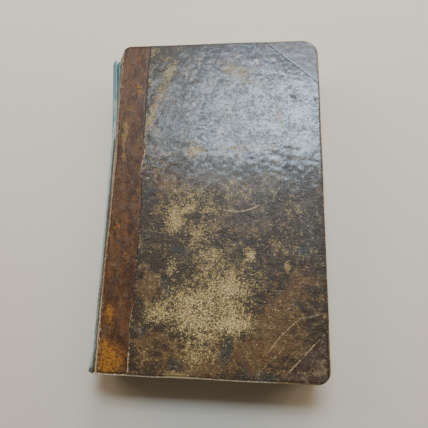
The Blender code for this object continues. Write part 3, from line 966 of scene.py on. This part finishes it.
def rub_through(finish, wear, paint):
    """Wears the pattern to a film, to tan and to bare fibres.

    Returns the paint, and where it is bare, holed and dulled.
    """
    tint, cloud, blot, speck, grit = colours(), finish.cloud, finish.blot, finish.speck, finish.grit
    rubbed = tint.paper_rubbed
    rub = smear(finish, wear.rubs)
    grain = (speck - 0.5) * 2.2 + (grit - 0.5) * 1.8 + (blot - 0.5) * 1.3
    film = rub + (cloud - 0.5) * 1.2 + (blot - 0.5) * 1.4 + (finish.thread - 0.5) * 1.2 + 0.10
    paint = finish.mix(paint, scaled(rubbed, 0.40), film.ease(0.05, 0.90) * 0.52)
    # Greys the pattern in the haze spots: part dust, part painted sheen from the window's reflection
    if wear.haze:
        dust_and_sheen = smear(finish, wear.haze) + (cloud - 0.5) * 1.4 + (blot - 0.5) + (speck - 0.5) * 0.9
        paint = finish.mix(paint, tint.paper_dust_and_sheen, dust_and_sheen.ease(0.05, 1.1) * 0.55)
    tans = smear(finish, wear.tans) + (blot - 0.5) * 1.8 + (speck - 0.5) * 1.8
    tanned = (tans + (grit - 0.5) * 1.0).ease(0.30, 0.95)
    paint = finish.mix(paint, scaled(rubbed, 0.70), tanned * 0.66)
    bare = (rub + grain + (cloud - 0.5) * 1.2).ease(0.45, 0.66) * (rub * 1.4 + 0.34).clamp()
    pale = finish.mix(scaled(rubbed, 0.50), scaled(rubbed, 1.1), (grit - 0.5).ease(-0.08, 0.10))
    paint = finish.mix(paint, pale, bare * 0.88)
    crust = rub * 0.9 + (grit - 0.5) * 3.4 + (speck - 0.5) * 1.6 + (finish.pitted - 0.5) * 2.0
    paint = finish.mix(paint, tint.paper_crust, crust.ease(0.80, 1.15) * 0.75)
    flecks = ((grit - 0.5) + (speck - 0.5) * 0.6 + (cloud - 0.5) * 0.3).ease(0.17, 0.22)
    paint = finish.mix(paint, tint.paper_crust, flecks * (rub * 0.5 + 0.22))
    holes = (smear(finish, wear.pits) + (finish.pitted - 0.5) * 1.4 + (speck - 0.5)).ease(0.30, 0.62)
    paint = finish.mix(paint, scaled(tint.paper_black, 0.5), holes * 0.85)
    return paint, bare, holes, (bare * 0.4 + tanned * 0.55 + holes * 0.8).clamp()


def marbled_finish(plan):
    """Glazed marbled paper: dark, specked, wrinkled and rubbed through to its pale fibres."""
    tint, wear = colours(), FRONT_WEAR if plan.front else BACK_WEAR
    finish = cover_finish(f"marbled_paper_{plan.side}", plan, specular=0.38)
    spot = finish.spot
    finish.cloud = cloud = finish.noise(spot, 0.075, 4, 0.6)
    finish.blot = blot = finish.noise(spot, 0.20, 3, 0.6)
    finish.speck = speck = finish.noise(spot, 0.56, 2, 0.6)
    finish.grit = grit = finish.noise(spot, 1.05, 2, 0.6)
    finish.thread = thread = finish.noise(finish.place((0, 40, 0), (0.10, 0.55, 0.5)), 1.0, 2, 0.6)
    finish.pitted = finish.noise(finish.place((90, 0, 0)), 0.38, 3, 0.7)
    paint, bare, holes, dulled = rub_through(finish, wear, marbled_pattern(finish, wear))

    ragged = (speck - 0.5) * 3.0 + (grit - 0.5) * 3.0 + (blot - 0.5) * 3.0
    edge, rim = finish.attribute("free_edge"), finish.attribute("rim")
    shadowed = (edge + ragged * 0.15).fade(0.4, 1.5)
    paint = finish.mix(paint, scaled(tint.paper_black, 0.5), shadowed * 0.8)
    frayed = (smear(finish, wear.frayed_edges) * 1.4 + ragged * 0.55 - edge * 0.70).ease(0.42, 0.86)
    paint = finish.mix(paint, tint.fibre, frayed * 0.85)
    lines = streaks(finish, wear.scratches)
    paint = finish.mix(paint, tint.fibre, (lines * (ragged * 0.9 + 0.75)).clamp() * 0.75)
    # Painted shade: a dark line just inside the rim, where the board's edge starts to round over
    paint = finish.mix(paint, scaled(tint.paper_black, 0.6), (rim + ragged * 0.15).near(2.3, 0.3, 1.0) * 0.5)
    paint = finish.mix(paint, tint.edge_brown, (rim + ragged * 0.4).fade(0.0, 1.0) * 0.7)
    paint = finish.mix(paint, tint.chafed, tail_rim(finish, ragged * 0.35, 0.5, 1.4) * wear.tail_chafing)
    browner = (blot - 0.5 + (speck - 0.5) * 0.6).ease(-0.1, 0.15)
    plain = finish.mix(tint.paper_black, tint.paper_brown, browner)
    turned = turned_in(finish, plan)
    finish.feed("Base Color", finish.mix(paint, plain, turned))
    finish.feed("Roughness", ((grit - 0.5) * 0.5 + bare * 0.30 + (shadowed + turned) * 0.5 + 0.46).clamp())
    glaze = finish.noise(finish.place((0, 0, 25), (0.24, 0.34, 0.3)), 1.0, 3, 0.65, 0.6)
    shiny = ((glaze - 0.5) * 1.2 + (speck - 0.5) * 1.0 + (cloud - 0.5) * 0.8).ease(-0.22, 0.20, 0.25, 1.0)
    finish.feed("Coat Weight", shiny * (1 - dulled) * (1 - shadowed) * (1 - turned) * 0.95)
    finish.shader.inputs["Coat Roughness"].default_value = 0.14
    wrinkle = finish.noise(finish.place(stretch=(0.24, 0.32, 0.3)), 1.0, 3, 0.62, 0.8)
    relief = wrinkle * 1.5 + thread * 0.6 - holes * 0.8 - bare * 0.3 - lines * 0.3
    finish.bump((relief, 0.30), (speck, 0.26), (grit, 0.16))
    return finish


def rubbed_leather(finish, paint, fine):
    """Gold and orange where the spine leather's surface has rubbed off."""
    tint, blot = colours(), finish.blot
    gilded = smear(finish, LEATHER_OLIVE) + (blot - 0.5) * 1.0 + fine * 0.6
    paint = finish.mix(paint, tint.leather_olive, gilded.ease(0.30, 0.90) * 0.80)
    rubbed = smear(finish, LEATHER_ORANGE) + (blot - 0.5) * 1.6 + (finish.cloud - 0.5) * 0.5 + fine * 0.8
    dull, bright = scaled(tint.leather_orange, 0.45), scaled(tint.leather_orange, 1.2)
    orange = finish.mix(dull, bright, fine.ease(-0.35, 0.35))
    return finish.mix(paint, orange, rubbed.ease(0.30, 0.95) * 0.85)


def torn_leather(finish, paint, near, ragged):
    """The spine leather's edges: torn to pale fibres along the seam and the joint, and chafed at the tail."""
    tint = colours()
    y, x = finish.axis(finish.spot, "Y"), finish.axis(finish.warped, "X")
    torn_up = (y.ease(60, 90, 1.0, 0.35) + ragged * 0.35).clamp()
    fibres = (near + ragged * 0.4).near(1.3, 0.2, 0.9) * torn_up * (x - 6).fade(0, 4)
    paint = finish.mix(paint, tint.fibre, fibres * 0.8)
    seam = x.near(3.8, 0.25, 0.8) * torn_up * (ragged * 0.8 + 0.45).clamp()
    paint = finish.mix(paint, tint.fibre, seam * 0.7)
    paint = finish.mix(paint, tint.chafed, tail_rim(finish, ragged * 0.5, 0.8, 1.8) * 0.9)
    shadowed = (finish.attribute("free_edge") + ragged * 0.1).fade(0.2, 0.8)
    return finish.mix(paint, scaled(tint.leather_dark, 0.3), shadowed * 0.8)


def leather_finish(plan, name, on_spine):
    """Worn calf: satin and mottled, greyer and glossier at the corners."""
    tint = colours()
    finish = cover_finish(name, plan, specular=0.25)
    spot = finish.spot
    finish.cloud = cloud = finish.noise(spot, 0.06, 4, 0.6)
    streak = finish.noise(finish.place((0, 70, 0), (0.15, 0.055, 0.15)), 1.0, 3, 0.6, 0.5)
    finish.blot = blot = finish.noise(spot, 0.22, 3, 0.65)
    speck = finish.noise(spot, 0.5, 2, 0.6)
    grit = finish.noise(spot, 1.1, 2, 0.6)
    fine = (speck - 0.5) * 1.6 + (grit - 0.5) * 1.2
    shade = ((streak - 0.5) * 2.4 + (cloud - 0.5) * 3.0 + (blot - 0.5) * 1.6 + fine * 0.9).ease(-0.30, 0.42)
    ground = tint.leather_red if on_spine else scaled(tint.leather_grey, 0.9)
    paint = finish.mix(ground, tint.leather_dark, shade)
    flushed = (cloud - 0.5) * 2.5 - (streak - 0.5) * 2.5 + (blot - 0.5) * 1.5 + fine * 0.8
    paint = finish.mix(paint, tint.leather_tan, flushed.ease(0.10, 0.70) * (0.65 if on_spine else 0.2))
    if on_spine:
        paint = rubbed_leather(finish, paint, fine)
    greyed = finish.noise(finish.place((0, 0, 50), (0.10, 0.05, 0.1)), 1.0, 3, 0.6)
    greyed = ((greyed - 0.5) * 3 + (blot - 0.5) * 2).ease(0.05, 0.7)
    paint = finish.mix(paint, tint.leather_grey, greyed * 0.6)
    dirt = finish.noise(finish.place((35, 0, 0)), 0.30, 4, 0.7)
    paint = finish.mix(paint, scaled(tint.leather_dark, 0.45), (dirt - 0.5).ease(0.05, 0.12) * 0.7)

    near = finish.attribute("free_edge").smaller(finish.attribute("rim"))
    ragged = (speck - 0.5) * 3.0 + (grit - 0.5) * 2.5 + (blot - 0.5) * 4.0
    # Painted shade: a dark line about 2.5 mm in from each edge, in the groove at the side paper's edge and
    # where the board's edge rounds over
    paint = finish.mix(paint, scaled(tint.leather_dark, 0.5), (near + ragged * 0.2).near(2.5, 0.3, 1.1) * 0.7)
    paint = finish.mix(paint, tint.edge_brown, (near + ragged * 0.35).fade(0.6, 1.7) * 0.8)
    if on_spine:
        paint = torn_leather(finish, paint, near, ragged)
    else:
        scuffed = (smear(finish, CORNER_SCUFFS) + ragged * 0.8).ease(0.35, 1.05)
        paint = finish.mix(paint, scaled(tint.fibre, 0.55), scuffed * 0.6)
        paint = finish.mix(paint, tint.fibre, tail_rim(finish, ragged * 0.4, 0.3, 1.0) * 0.8)
    turned = turned_in(finish, plan)
    plain = finish.mix(tint.leather_red, tint.leather_dark, shade)
    finish.feed("Base Color", finish.mix(paint, plain, turned))
    worn = (grit - 0.5) * 0.5 + (cloud - 0.5) * 0.4 + (0.42 if on_spine else 0.34)
    finish.feed("Roughness", (worn + turned * 0.4).clamp())
    coat = (cloud - 0.5) * 0.5 - (speck - 0.5) * 0.6 + (0.05 if on_spine else 0.70)
    finish.feed("Coat Weight", coat.clamp() * (1 - turned))
    finish.shader.inputs["Coat Roughness"].default_value = 0.22
    finish.bump((streak, 0.8), (blot, 0.35), (speck, 0.16), (finish.cells(spot, 1.1), 0.10), (grit, 0.05))
    return finish


def board_finish():
    tint = colours()
    finish = Finish("millboard", roughness=0.95)
    spot = finish.place()
    layers = finish.noise(finish.place(stretch=(0.05, 0.05, 2.6)), 1.0, 3, 0.6)
    speck = finish.noise(spot, 0.8, 4, 0.7)
    paint = finish.mix(scaled(tint.fibre, 0.45), tint.fibre, (layers * 0.6 + speck * 0.5).ease(0.35, 0.75))
    finish.feed("Base Color", paint)
    finish.bump((layers, 0.3), (speck, 0.2))
    return finish


def endpaper_finish(name, seed):
    """Toned laid paper with brown spots, darker towards its edges."""
    tint = colours()
    finish = Finish(name, roughness=0.85, specular=0.3)
    spot = finish.place((0, 0, seed))
    cloud = finish.noise(spot, 0.02, 4, 0.6)
    foxing = finish.noise(spot, 0.09, 5, 0.72)
    speck = finish.noise(spot, 1.0, 3, 0.7)
    paint = finish.mix(tint.endpaper, scaled(tint.endpaper, 0.72), cloud.ease(0.35, 0.7))
    paint = finish.mix(paint, (0.30, 0.17, 0.07), foxing.ease(0.56, 0.72) * 0.65)
    paint = finish.mix(paint, (0.42, 0.30, 0.17), (speck - 0.5).ease(0.1, 0.25) * 0.25)
    edge = finish.attribute("free_edge")
    toned = (edge + (cloud - 0.5) * 14.0).fade(0.0, 16.0)
    paint = finish.mix(paint, (0.26, 0.16, 0.08), toned * 0.6)
    laid = finish.bands(spot, "Y", 0.30, 0.5, 1.0)
    finish.feed("Base Color", paint)
    finish.bump((cloud, 0.4), (laid, 0.02), (speck, 0.05))
    return finish


def leaves_finish():
    """The cut edges of the leaves: fine lines, toned and dusty."""
    tint = colours()
    finish = Finish("leaf_edges", roughness=0.9, specular=0.3)
    spot = finish.place()
    lines = finish.noise(finish.place(stretch=(0.03, 0.03, 4.5)), 1.0, 4, 0.75)
    gathers = finish.noise(finish.place(stretch=(0.012, 0.012, 0.55)), 1.0, 3, 0.6)
    stain = finish.noise(spot, 0.03, 4, 0.6)
    speck = finish.noise(spot, 0.7, 4, 0.7)
    paint = finish.mix(scaled(tint.leaves, 0.55), tint.leaves, (lines * 0.7 + gathers * 0.4).ease(0.40, 0.70))
    paint = finish.mix(paint, (0.20, 0.13, 0.07), (stain + (speck - 0.5) * 0.4).ease(0.50, 0.78) * 0.5)
    finish.feed("Base Color", paint)
    finish.bump((gathers, 0.6), (lines, 0.25))
    return finish


def cloth_finish():
    """The spine's blue-green lining, faded along its crest and scuffed at its ends, with old glue on it and
    painted shade along its edges under the covers.
    """
    tint = colours()
    finish = Finish("spine_cloth", roughness=0.7, specular=0.35)
    low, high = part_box("spine_strip")
    spot = finish.place((low.x, low.y, low.z))
    y = finish.axis(spot, "Y")
    cloud = finish.noise(spot, 0.035, 3, 0.6)
    smudge = finish.noise(spot, 0.16, 4, 0.65)
    speck = finish.noise(spot, 0.6, 4, 0.75)
    streak = finish.noise(finish.place(stretch=(0.3, 0.04, 0.3)), 1.0, 4, 0.6)
    along = y + (cloud - 0.5) * 120
    middle = along.fade(245, 292) * along.ease(60, 140, 0.55, 1.0)
    faded = (middle * 0.95 + (streak - 0.5) * 1.5 + (smudge - 0.5) * 1.5 + (speck - 0.5)).ease(0.12, 0.95)
    paint = finish.mix(tint.cloth, tint.cloth_pale, faded * 0.88)
    paint = finish.mix(paint, tint.cloth_dusty, (smudge - 0.5).ease(-0.02, 0.14) * 0.45)
    glue = finish.noise(spot, 0.11, 5, 0.7) + along.ease(60, 150, 0.10, 0.0) * along.ease(15, 40)
    paint = finish.mix(paint, tint.cloth_soil_and_shade, glue.ease(0.53, 0.68) * 0.70)
    edge = finish.attribute("free_edge")
    # Painted shade: the lining darkens within a few mm of its long edges, where the covers' edges overhang
    # it, fading out towards the head
    shaded = (edge + (speck - 0.5) * 2.5 + (smudge - 0.5) * 3).fade(2.4, 6.0)
    painted_shade_under_cover = shaded * (1 - along.ease(215, 270))
    paint = finish.mix(paint, scaled(tint.cloth_soil_and_shade, 0.35), painted_shade_under_cover * 0.88)
    frayed = (edge + (speck - 0.5) * 2.0).fade(0.1, 1.0) * (1 - painted_shade_under_cover)
    paint = finish.mix(paint, tint.cloth_pale, frayed * 0.6)
    weft, warp = (finish.bands(spot, direction, 0.5, 0.6) for direction in "YZ")
    finish.feed("Base Color", paint)
    finish.bump((smudge, 0.5), (streak, 0.3), (speck, 0.15), (weft * warp, 0.10))
    return finish


def thread_finish(name, paint_a, paint_b, band):
    """Twisted cord or wound thread, in two colours that take turns along it."""
    finish = Finish(name, roughness=0.85, specular=0.3)
    spot = finish.place()
    speck = finish.noise(spot, 1.4, 4, 0.7)
    turns = finish.bands(spot, "DIAGONAL", band, 0.4)
    share = (turns * 0.8 + (speck - 0.5) * 0.6).ease(0.3, 0.7)
    finish.feed("Base Color", finish.mix(paint_a, paint_b, share))
    finish.bump((turns, 0.2), (speck, 0.08))
    return finish


# Leaves and spine


def arc_radius(half_chord, rise):
    return (half_chord * half_chord + rise * rise) / (2 * rise)


def make_leaves():
    """The leaves as one block, built up leaf by leaf in steps: each level is its own outline."""
    low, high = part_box("text_block")
    half, middle = (high.z - low.z) / 2, (high.z + low.z) / 2
    spine_radius = arc_radius(half, SHOULDER_X - low.x)
    fore_radius = arc_radius(half, FORE_HOLLOW)
    block = add_grid("leaves", 46, 74)
    points = points_of(block)
    points[:, 2] = low.z
    set_points(block, points)
    leaf_height = (high.z - low.z) / LEAF_LEVELS
    with editing(block):
        for _ in range(LEAF_LEVELS):
            bpy.ops.mesh.extrude_region_move(TRANSFORM_OT_translate={"value": (0, 0, leaf_height)})
    points = points_of(block)
    level = np.rint((points[:, 2] - low.z) / (high.z - low.z) * LEAF_LEVELS).astype(int)
    z = points[:, 2] - middle
    left = low.x + spine_radius - np.sqrt(np.maximum(spine_radius**2 - z**2, 0))
    right = high.x - FORE_HOLLOW + fore_radius - np.sqrt(np.maximum(fore_radius**2 - z**2, 0))
    u, v = points[:, 0] + 0.5, points[:, 1] + 0.5
    rng = np.random.default_rng(11)
    jog = rng.normal(0, 0.16 * MM, (LEAF_LEVELS + 1, 3))
    gathers = rng.normal(0, 0.22 * MM, (LEAF_LEVELS // LEVELS_IN_GATHER + 2, 3))
    gather = np.repeat(gathers, LEVELS_IN_GATHER, axis=0)[: LEAF_LEVELS + 1]
    offset = np.clip(jog + gather, -0.5 * MM, 0.5 * MM) - 0.5 * MM
    fore = right + offset[level, 0]
    head = high.y + offset[level, 1]
    tail = low.y - offset[level, 2]
    points[:, 0] = left + u * (fore - left)
    points[:, 1] = tail + v * (head - tail)
    sway = waves(points * (0.5, 0.5, 6), 30 * MM, 5)
    points[:, 0] += (sway - 1) * 0.25 * MM * step(u, 0.9, 1)
    set_points(block, points)
    smooth_shade(block, 30)
    return block


def make_spine_ply(name, depth, lift_share, shortfall, thickness, seed):
    """One ply of the lining bent round the spine, lifting away towards its ends, with frayed edges.

    depth is how far it lies under the outer ply, and shortfall how far short of the strip's head it ends.
    """
    low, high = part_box("spine_strip")
    middle = sum(corner.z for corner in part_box("text_block")) / 2
    half = (high.z - low.z) / 2
    radius = arc_radius(half, high.x - SPINE_CREST_X)
    half_angle = math.asin(half / radius)
    ply = add_grid(name, 64, 300)
    points = points_of(ply)
    u, v = points[:, 0].copy(), points[:, 1] + 0.5
    place = np.stack([u, v * 8, u * 0], axis=1)
    narrowing = 0.5 + 0.5 * waves(place * (0, 1, 0), 0.35, seed + 3, 4)
    angle = 2 * half_angle * u * (1 - 0.05 * narrowing)
    fray_head = shortfall + (0.5 + 0.5 * waves(place * (1, 0, 0), 0.22, seed + 5, 5)) * 4 * MM
    fray_tail = (0.5 + 0.5 * waves(place * (1, 0, 0), 0.10, seed + 6, 4)) * 3 * MM
    bottom, top = low.y + fray_tail, high.y - fray_head
    y = bottom + v * (top - bottom)
    at_head = np.clip(1 - (high.y - y) / HEAD_LIFT_LENGTH, 0, 1)
    at_tail = np.clip(1 - (y - low.y) / TAIL_LIFT_LENGTH, 0, 1)
    away = (SPINE_CREST_X - low.x) * at_head**LIFT_CURVE + TAIL_LIFT * at_tail**LIFT_CURVE
    reach = radius - depth + 0.25 * MM * (waves(place, 0.12, seed, 4) - 1)
    points[:, 0] = SPINE_CREST_X + radius - reach * np.cos(angle) - away * lift_share
    points[:, 1] = y
    points[:, 2] = middle + reach * np.sin(angle)
    set_points(ply, points)
    to_side = (0.5 - np.abs(u)) * 2 * half_angle * radius
    mark(ply, "free_edge", np.minimum(to_side, np.minimum(y - bottom, top - y)) / MM)
    thicken(ply, thickness, 1)
    smooth_shade(ply, 60)
    return ply


def make_band(name):
    """A headband: a core wound with thread, so its surface is a row of ridges."""
    low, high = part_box(name)
    middle, y = (low.z + high.z) / 2, (low.y + high.y) / 2
    tube = (high.y - low.y) / 2
    half_path = (high.z - low.z) / 2 - tube * 0.4
    radius = arc_radius(half_path, high.x - low.x - tube)
    turns, sides = 44, 14
    band = add_grid(name + "_wound", turns * 3, sides)
    points = points_of(band)
    along, around = points[:, 0] * 2, (points[:, 1] + 0.5) * 2 * math.pi
    angle = along * math.asin(min(1.0, half_path / radius))
    ridge = tube * (0.88 + 0.12 * np.cos(along * turns * math.pi))
    end = np.sqrt(np.clip(1 - np.clip((np.abs(along) - 0.97) / 0.03, 0, 1) ** 2, 0.02, 1))
    reach = radius + ridge * end * np.cos(around)
    centre = low.x + tube + radius
    points[:, 0] = centre - reach * np.cos(angle)
    points[:, 1] = y + ridge * end * np.sin(around)
    points[:, 2] = middle + reach * np.sin(angle)
    set_points(band, points)
    with editing(band):
        bpy.ops.mesh.remove_doubles(threshold=0.02 * MM)
        bpy.ops.mesh.select_all(action="DESELECT")
        bpy.ops.mesh.select_non_manifold()
        bpy.ops.mesh.edge_face_add()
        bpy.ops.mesh.select_all(action="SELECT")
        bpy.ops.mesh.normals_make_consistent(inside=False)
    smooth_shade(band, 60)
    return band


def make_flyleaf(side):
    low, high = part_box(f"{side}_flyleaf")
    leaf = add_grid(f"{side}_free_endpaper", 60, 96)
    points = points_of(leaf)
    points[:, 0] = low.x + (points[:, 0] + 0.5) * (high.x - low.x)
    points[:, 1] = low.y + (points[:, 1] + 0.5) * (high.y - low.y)
    x, y = points[:, 0], points[:, 1]
    inside = np.minimum.reduce([high.x - x, y - low.y, high.y - y])
    points[:, 2] = (low.z + high.z) / 2 + 0.08 * MM * waves(points, 40 * MM, 12)
    nibble = waves(points, 6 * MM, 13, 3) * 0.4 * MM * (1 - step(inside, 0, 3 * MM))
    points[:, 0] += nibble - 0.4 * MM * (1 - step(high.x - points[:, 0], 0, 3 * MM))
    set_points(leaf, points)
    mark(leaf, "free_edge", inside / MM)
    thicken(leaf, ENDPAPER_THICKNESS, 0)
    smooth_shade(leaf)
    return leaf


def make_joint(side):
    """The endpaper's fold between pastedown and flyleaf."""
    plan = CoverPlan(side)
    leaf_low, leaf_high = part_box(f"{side}_flyleaf")
    outward = 1 if plan.front else -1
    strip = add_grid(f"{side}_endpaper_joint", 10, 60)
    points = points_of(strip)
    share = points[:, 0] + 0.5
    turn = share * math.pi
    start_x, end_x = plan.left + 3.0 * MM, plan.left + 4.0 * MM
    fold = 1.6 * MM
    points[:, 0] = start_x + (end_x - start_x) * share - fold * np.sin(turn)
    points[:, 1] = leaf_low.y + 1 * MM + (points[:, 1] + 0.5) * (leaf_high.y - leaf_low.y - 2 * MM)
    near, far = plan.leaf_face + outward * 0.06 * MM, plan.inner_face + outward * 0.1 * MM
    points[:, 2] = near + (far - near) * (1 - np.cos(turn)) / 2
    set_points(strip, points)
    mark(strip, "free_edge", np.full(len(points), 20.0))
    thicken(strip, 0.1 * MM, 0)
    smooth_shade(strip)
    return strip


# Operators


class MakeCover:
    """Shared by the two covers' operators."""

    def execute(self, context):
        maker = CoverMaker(self.side)
        maker.sheet = maker.base()
        plan, side = maker.plan, self.side
        leather = leather_finish(plan, f"calf_spine_{side}", True)
        corner_leather = leather_finish(plan, f"calf_corner_{side}", False)
        finish_piece(maker.paper(), marbled_finish(plan), plan.body, "side_paper", f"{side}_side_paper")
        spine = maker.leather(f"{side}_leather_spine", "spine")
        finish_piece(spine, leather, plan.body, "leather", f"{side}_spine_leather")
        for end in ("head", "tail"):
            corner = maker.leather(f"{side}_leather_{end}_corner", end)
            finish_piece(corner, corner_leather, plan.body, "leather", f"{side}_{end}_corner")
        finish_piece(maker.board(), board_finish(), plan.body, "board", f"{side}_board")
        paper = endpaper_finish(f"pastedown_{side}", 1.0)
        finish_piece(maker.pastedown(), paper, plan.body, "endpaper", f"{side}_pastedown")
        bpy.data.objects.remove(maker.sheet)
        return {"FINISHED"}


class OBJECT_OT_front_cover(MakeCover, bpy.types.Operator):
    """Make the front cover: board, leather, marbled side and pastedown"""

    bl_idname = "object.book_front_cover"
    bl_label = "Front cover"
    side = "front"


class OBJECT_OT_back_cover(MakeCover, bpy.types.Operator):
    """Make the back cover: board, leather, marbled side and pastedown"""

    bl_idname = "object.book_back_cover"
    bl_label = "Back cover"
    side = "back"


class OBJECT_OT_leaves(bpy.types.Operator):
    """Make the sewn leaves and the flyleaves"""

    bl_idname = "object.book_leaves"
    bl_label = "Leaves"

    def execute(self, context):
        finish_piece(make_leaves(), leaves_finish(), BLOCK, "leaves", "text_block")
        for index, side in enumerate(SIDES):
            finish = endpaper_finish(f"flyleaf_{side}", 2.0 + index)
            finish_piece(make_flyleaf(side), finish, BLOCK, "endpaper", f"{side}_flyleaf")
            joint, plan = make_joint(side), CoverPlan(side)
            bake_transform(joint)
            finish_piece(joint, finish, None, "endpaper")
        return {"FINISHED"}


class OBJECT_OT_spine(bpy.types.Operator):
    """Make the spine's lining and the headbands, and paint the sewing cords"""

    bl_idname = "object.book_spine"
    bl_label = "Spine"

    def execute(self, context):
        tint = colours()
        cloth = cloth_finish()
        for ply in (
            make_spine_ply("spine_lining", 0, 1.0, 3 * MM, 0.4 * MM, 3),
            make_spine_ply("spine_lining_inner_ply", 0.65 * MM, 0.5, 4 * MM, 0.15 * MM, 23),
        ):
            finish_piece(ply, cloth, BLOCK, "spine_cloth", "spine_strip")
        band_finish = thread_finish("headband_thread", (0.50, 0.40, 0.26), (0.16, 0.20, 0.24), 0.3)
        for name in ("head_band", "tail_band"):
            finish_piece(make_band(name), band_finish, BLOCK, "headband", name)
        cord_finish = thread_finish("hemp_cord", tint.cord, scaled(tint.cord, 0.5), 0.5)
        for name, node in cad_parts.items():
            if name.startswith("sewing_cord"):
                paint_with(node, cord_finish)
        return {"FINISHED"}


class OBJECT_OT_studio(bpy.types.Operator):
    """Make the floor, the lights and the camera"""

    bl_idname = "object.book_studio"
    bl_label = "Studio"

    def execute(self, context):
        deselect()
        bpy.ops.mesh.primitive_plane_add(size=8, location=(0, 0, 0))
        floor = bpy.context.object
        floor.name = "floor"
        finish = Finish("floor", roughness=0.7, specular=0.3)
        finish.shader.inputs["Base Color"].default_value = (*colours().floor, 1)
        paint_with(floor, finish)
        for name, (x, y), size, watts, tint in WINDOWS:
            add_light(name, (x, y, WINDOW_HEIGHT), size, watts, tint, target=(x, y, 0))
        for name, place, size, watts, tint in LAMPS:
            add_light(name, place, size, watts, tint, target=BOOK_MIDDLE)
        world = bpy.data.worlds.new("studio")
        context.scene.world = world
        world.use_nodes = True
        background = world.node_tree.nodes["Background"]
        background.inputs["Color"].default_value = (1.0, 0.88, 0.72, 1)
        background.inputs["Strength"].default_value = 0.10
        add_camera()
        return {"FINISHED"}


def add_light(name, place, size, watts, tint, target):
    data = bpy.data.lights.new(name, "AREA")
    data.shape = "RECTANGLE"
    data.size, data.size_y = size
    data.energy = watts
    data.color = tint
    light = bpy.data.objects.new(name, data)
    bpy.context.scene.collection.objects.link(light)
    light.location = place
    light.rotation_euler = (Vector(place) - Vector(target)).to_track_quat("Z", "Y").to_euler()


def add_camera():
    """A camera above the lower half of the front cover, tipped towards the head."""
    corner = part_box("front_spine_leather")
    data = bpy.data.cameras.new("camera")
    data.sensor_width = 36
    data.lens = 36 * CAMERA_FOCAL
    data.clip_start = 0.01
    camera = bpy.data.objects.new("camera", data)
    bpy.context.scene.collection.objects.link(camera)
    camera.location = Vector((corner[0].x, corner[0].y, corner[1].z)) + Vector(CAMERA_FROM_COVER)
    camera.rotation_euler = [math.radians(angle) for angle in CAMERA_TURN]
    bpy.context.scene.camera = camera


class VIEW3D_PT_antique_book(bpy.types.Panel):
    """Lists the book's pieces"""

    bl_label = "Antique Book"
    bl_space_type = "VIEW_3D"
    bl_region_type = "UI"
    bl_category = "Antique Book"

    def draw(self, context):
        for operator in OPERATORS:
            self.layout.operator(operator.bl_idname)
        for group in (context.scene.book_sizes, context.scene.book_colours):
            for key in group.__annotations__:
                self.layout.prop(group, key)


OPERATORS = (
    OBJECT_OT_front_cover,
    OBJECT_OT_back_cover,
    OBJECT_OT_leaves,
    OBJECT_OT_spine,
    OBJECT_OT_studio,
)
CLASSES = (BookSizes, BookColours, *OPERATORS, VIEW3D_PT_antique_book)


def register():
    for cls in CLASSES:
        bpy.utils.register_class(cls)
    bpy.types.Scene.book_sizes = bpy.props.PointerProperty(type=BookSizes)
    bpy.types.Scene.book_colours = bpy.props.PointerProperty(type=BookColours)


def unregister():
    del bpy.types.Scene.book_colours
    del bpy.types.Scene.book_sizes
    for cls in reversed(CLASSES):
        bpy.utils.unregister_class(cls)


def main():
    register()
    bpy.ops.object.book_studio()
    bpy.ops.object.book_front_cover()
    bpy.ops.object.book_back_cover()
    bpy.ops.object.book_leaves()
    bpy.ops.object.book_spine()


if __name__ == "__main__":
    main()
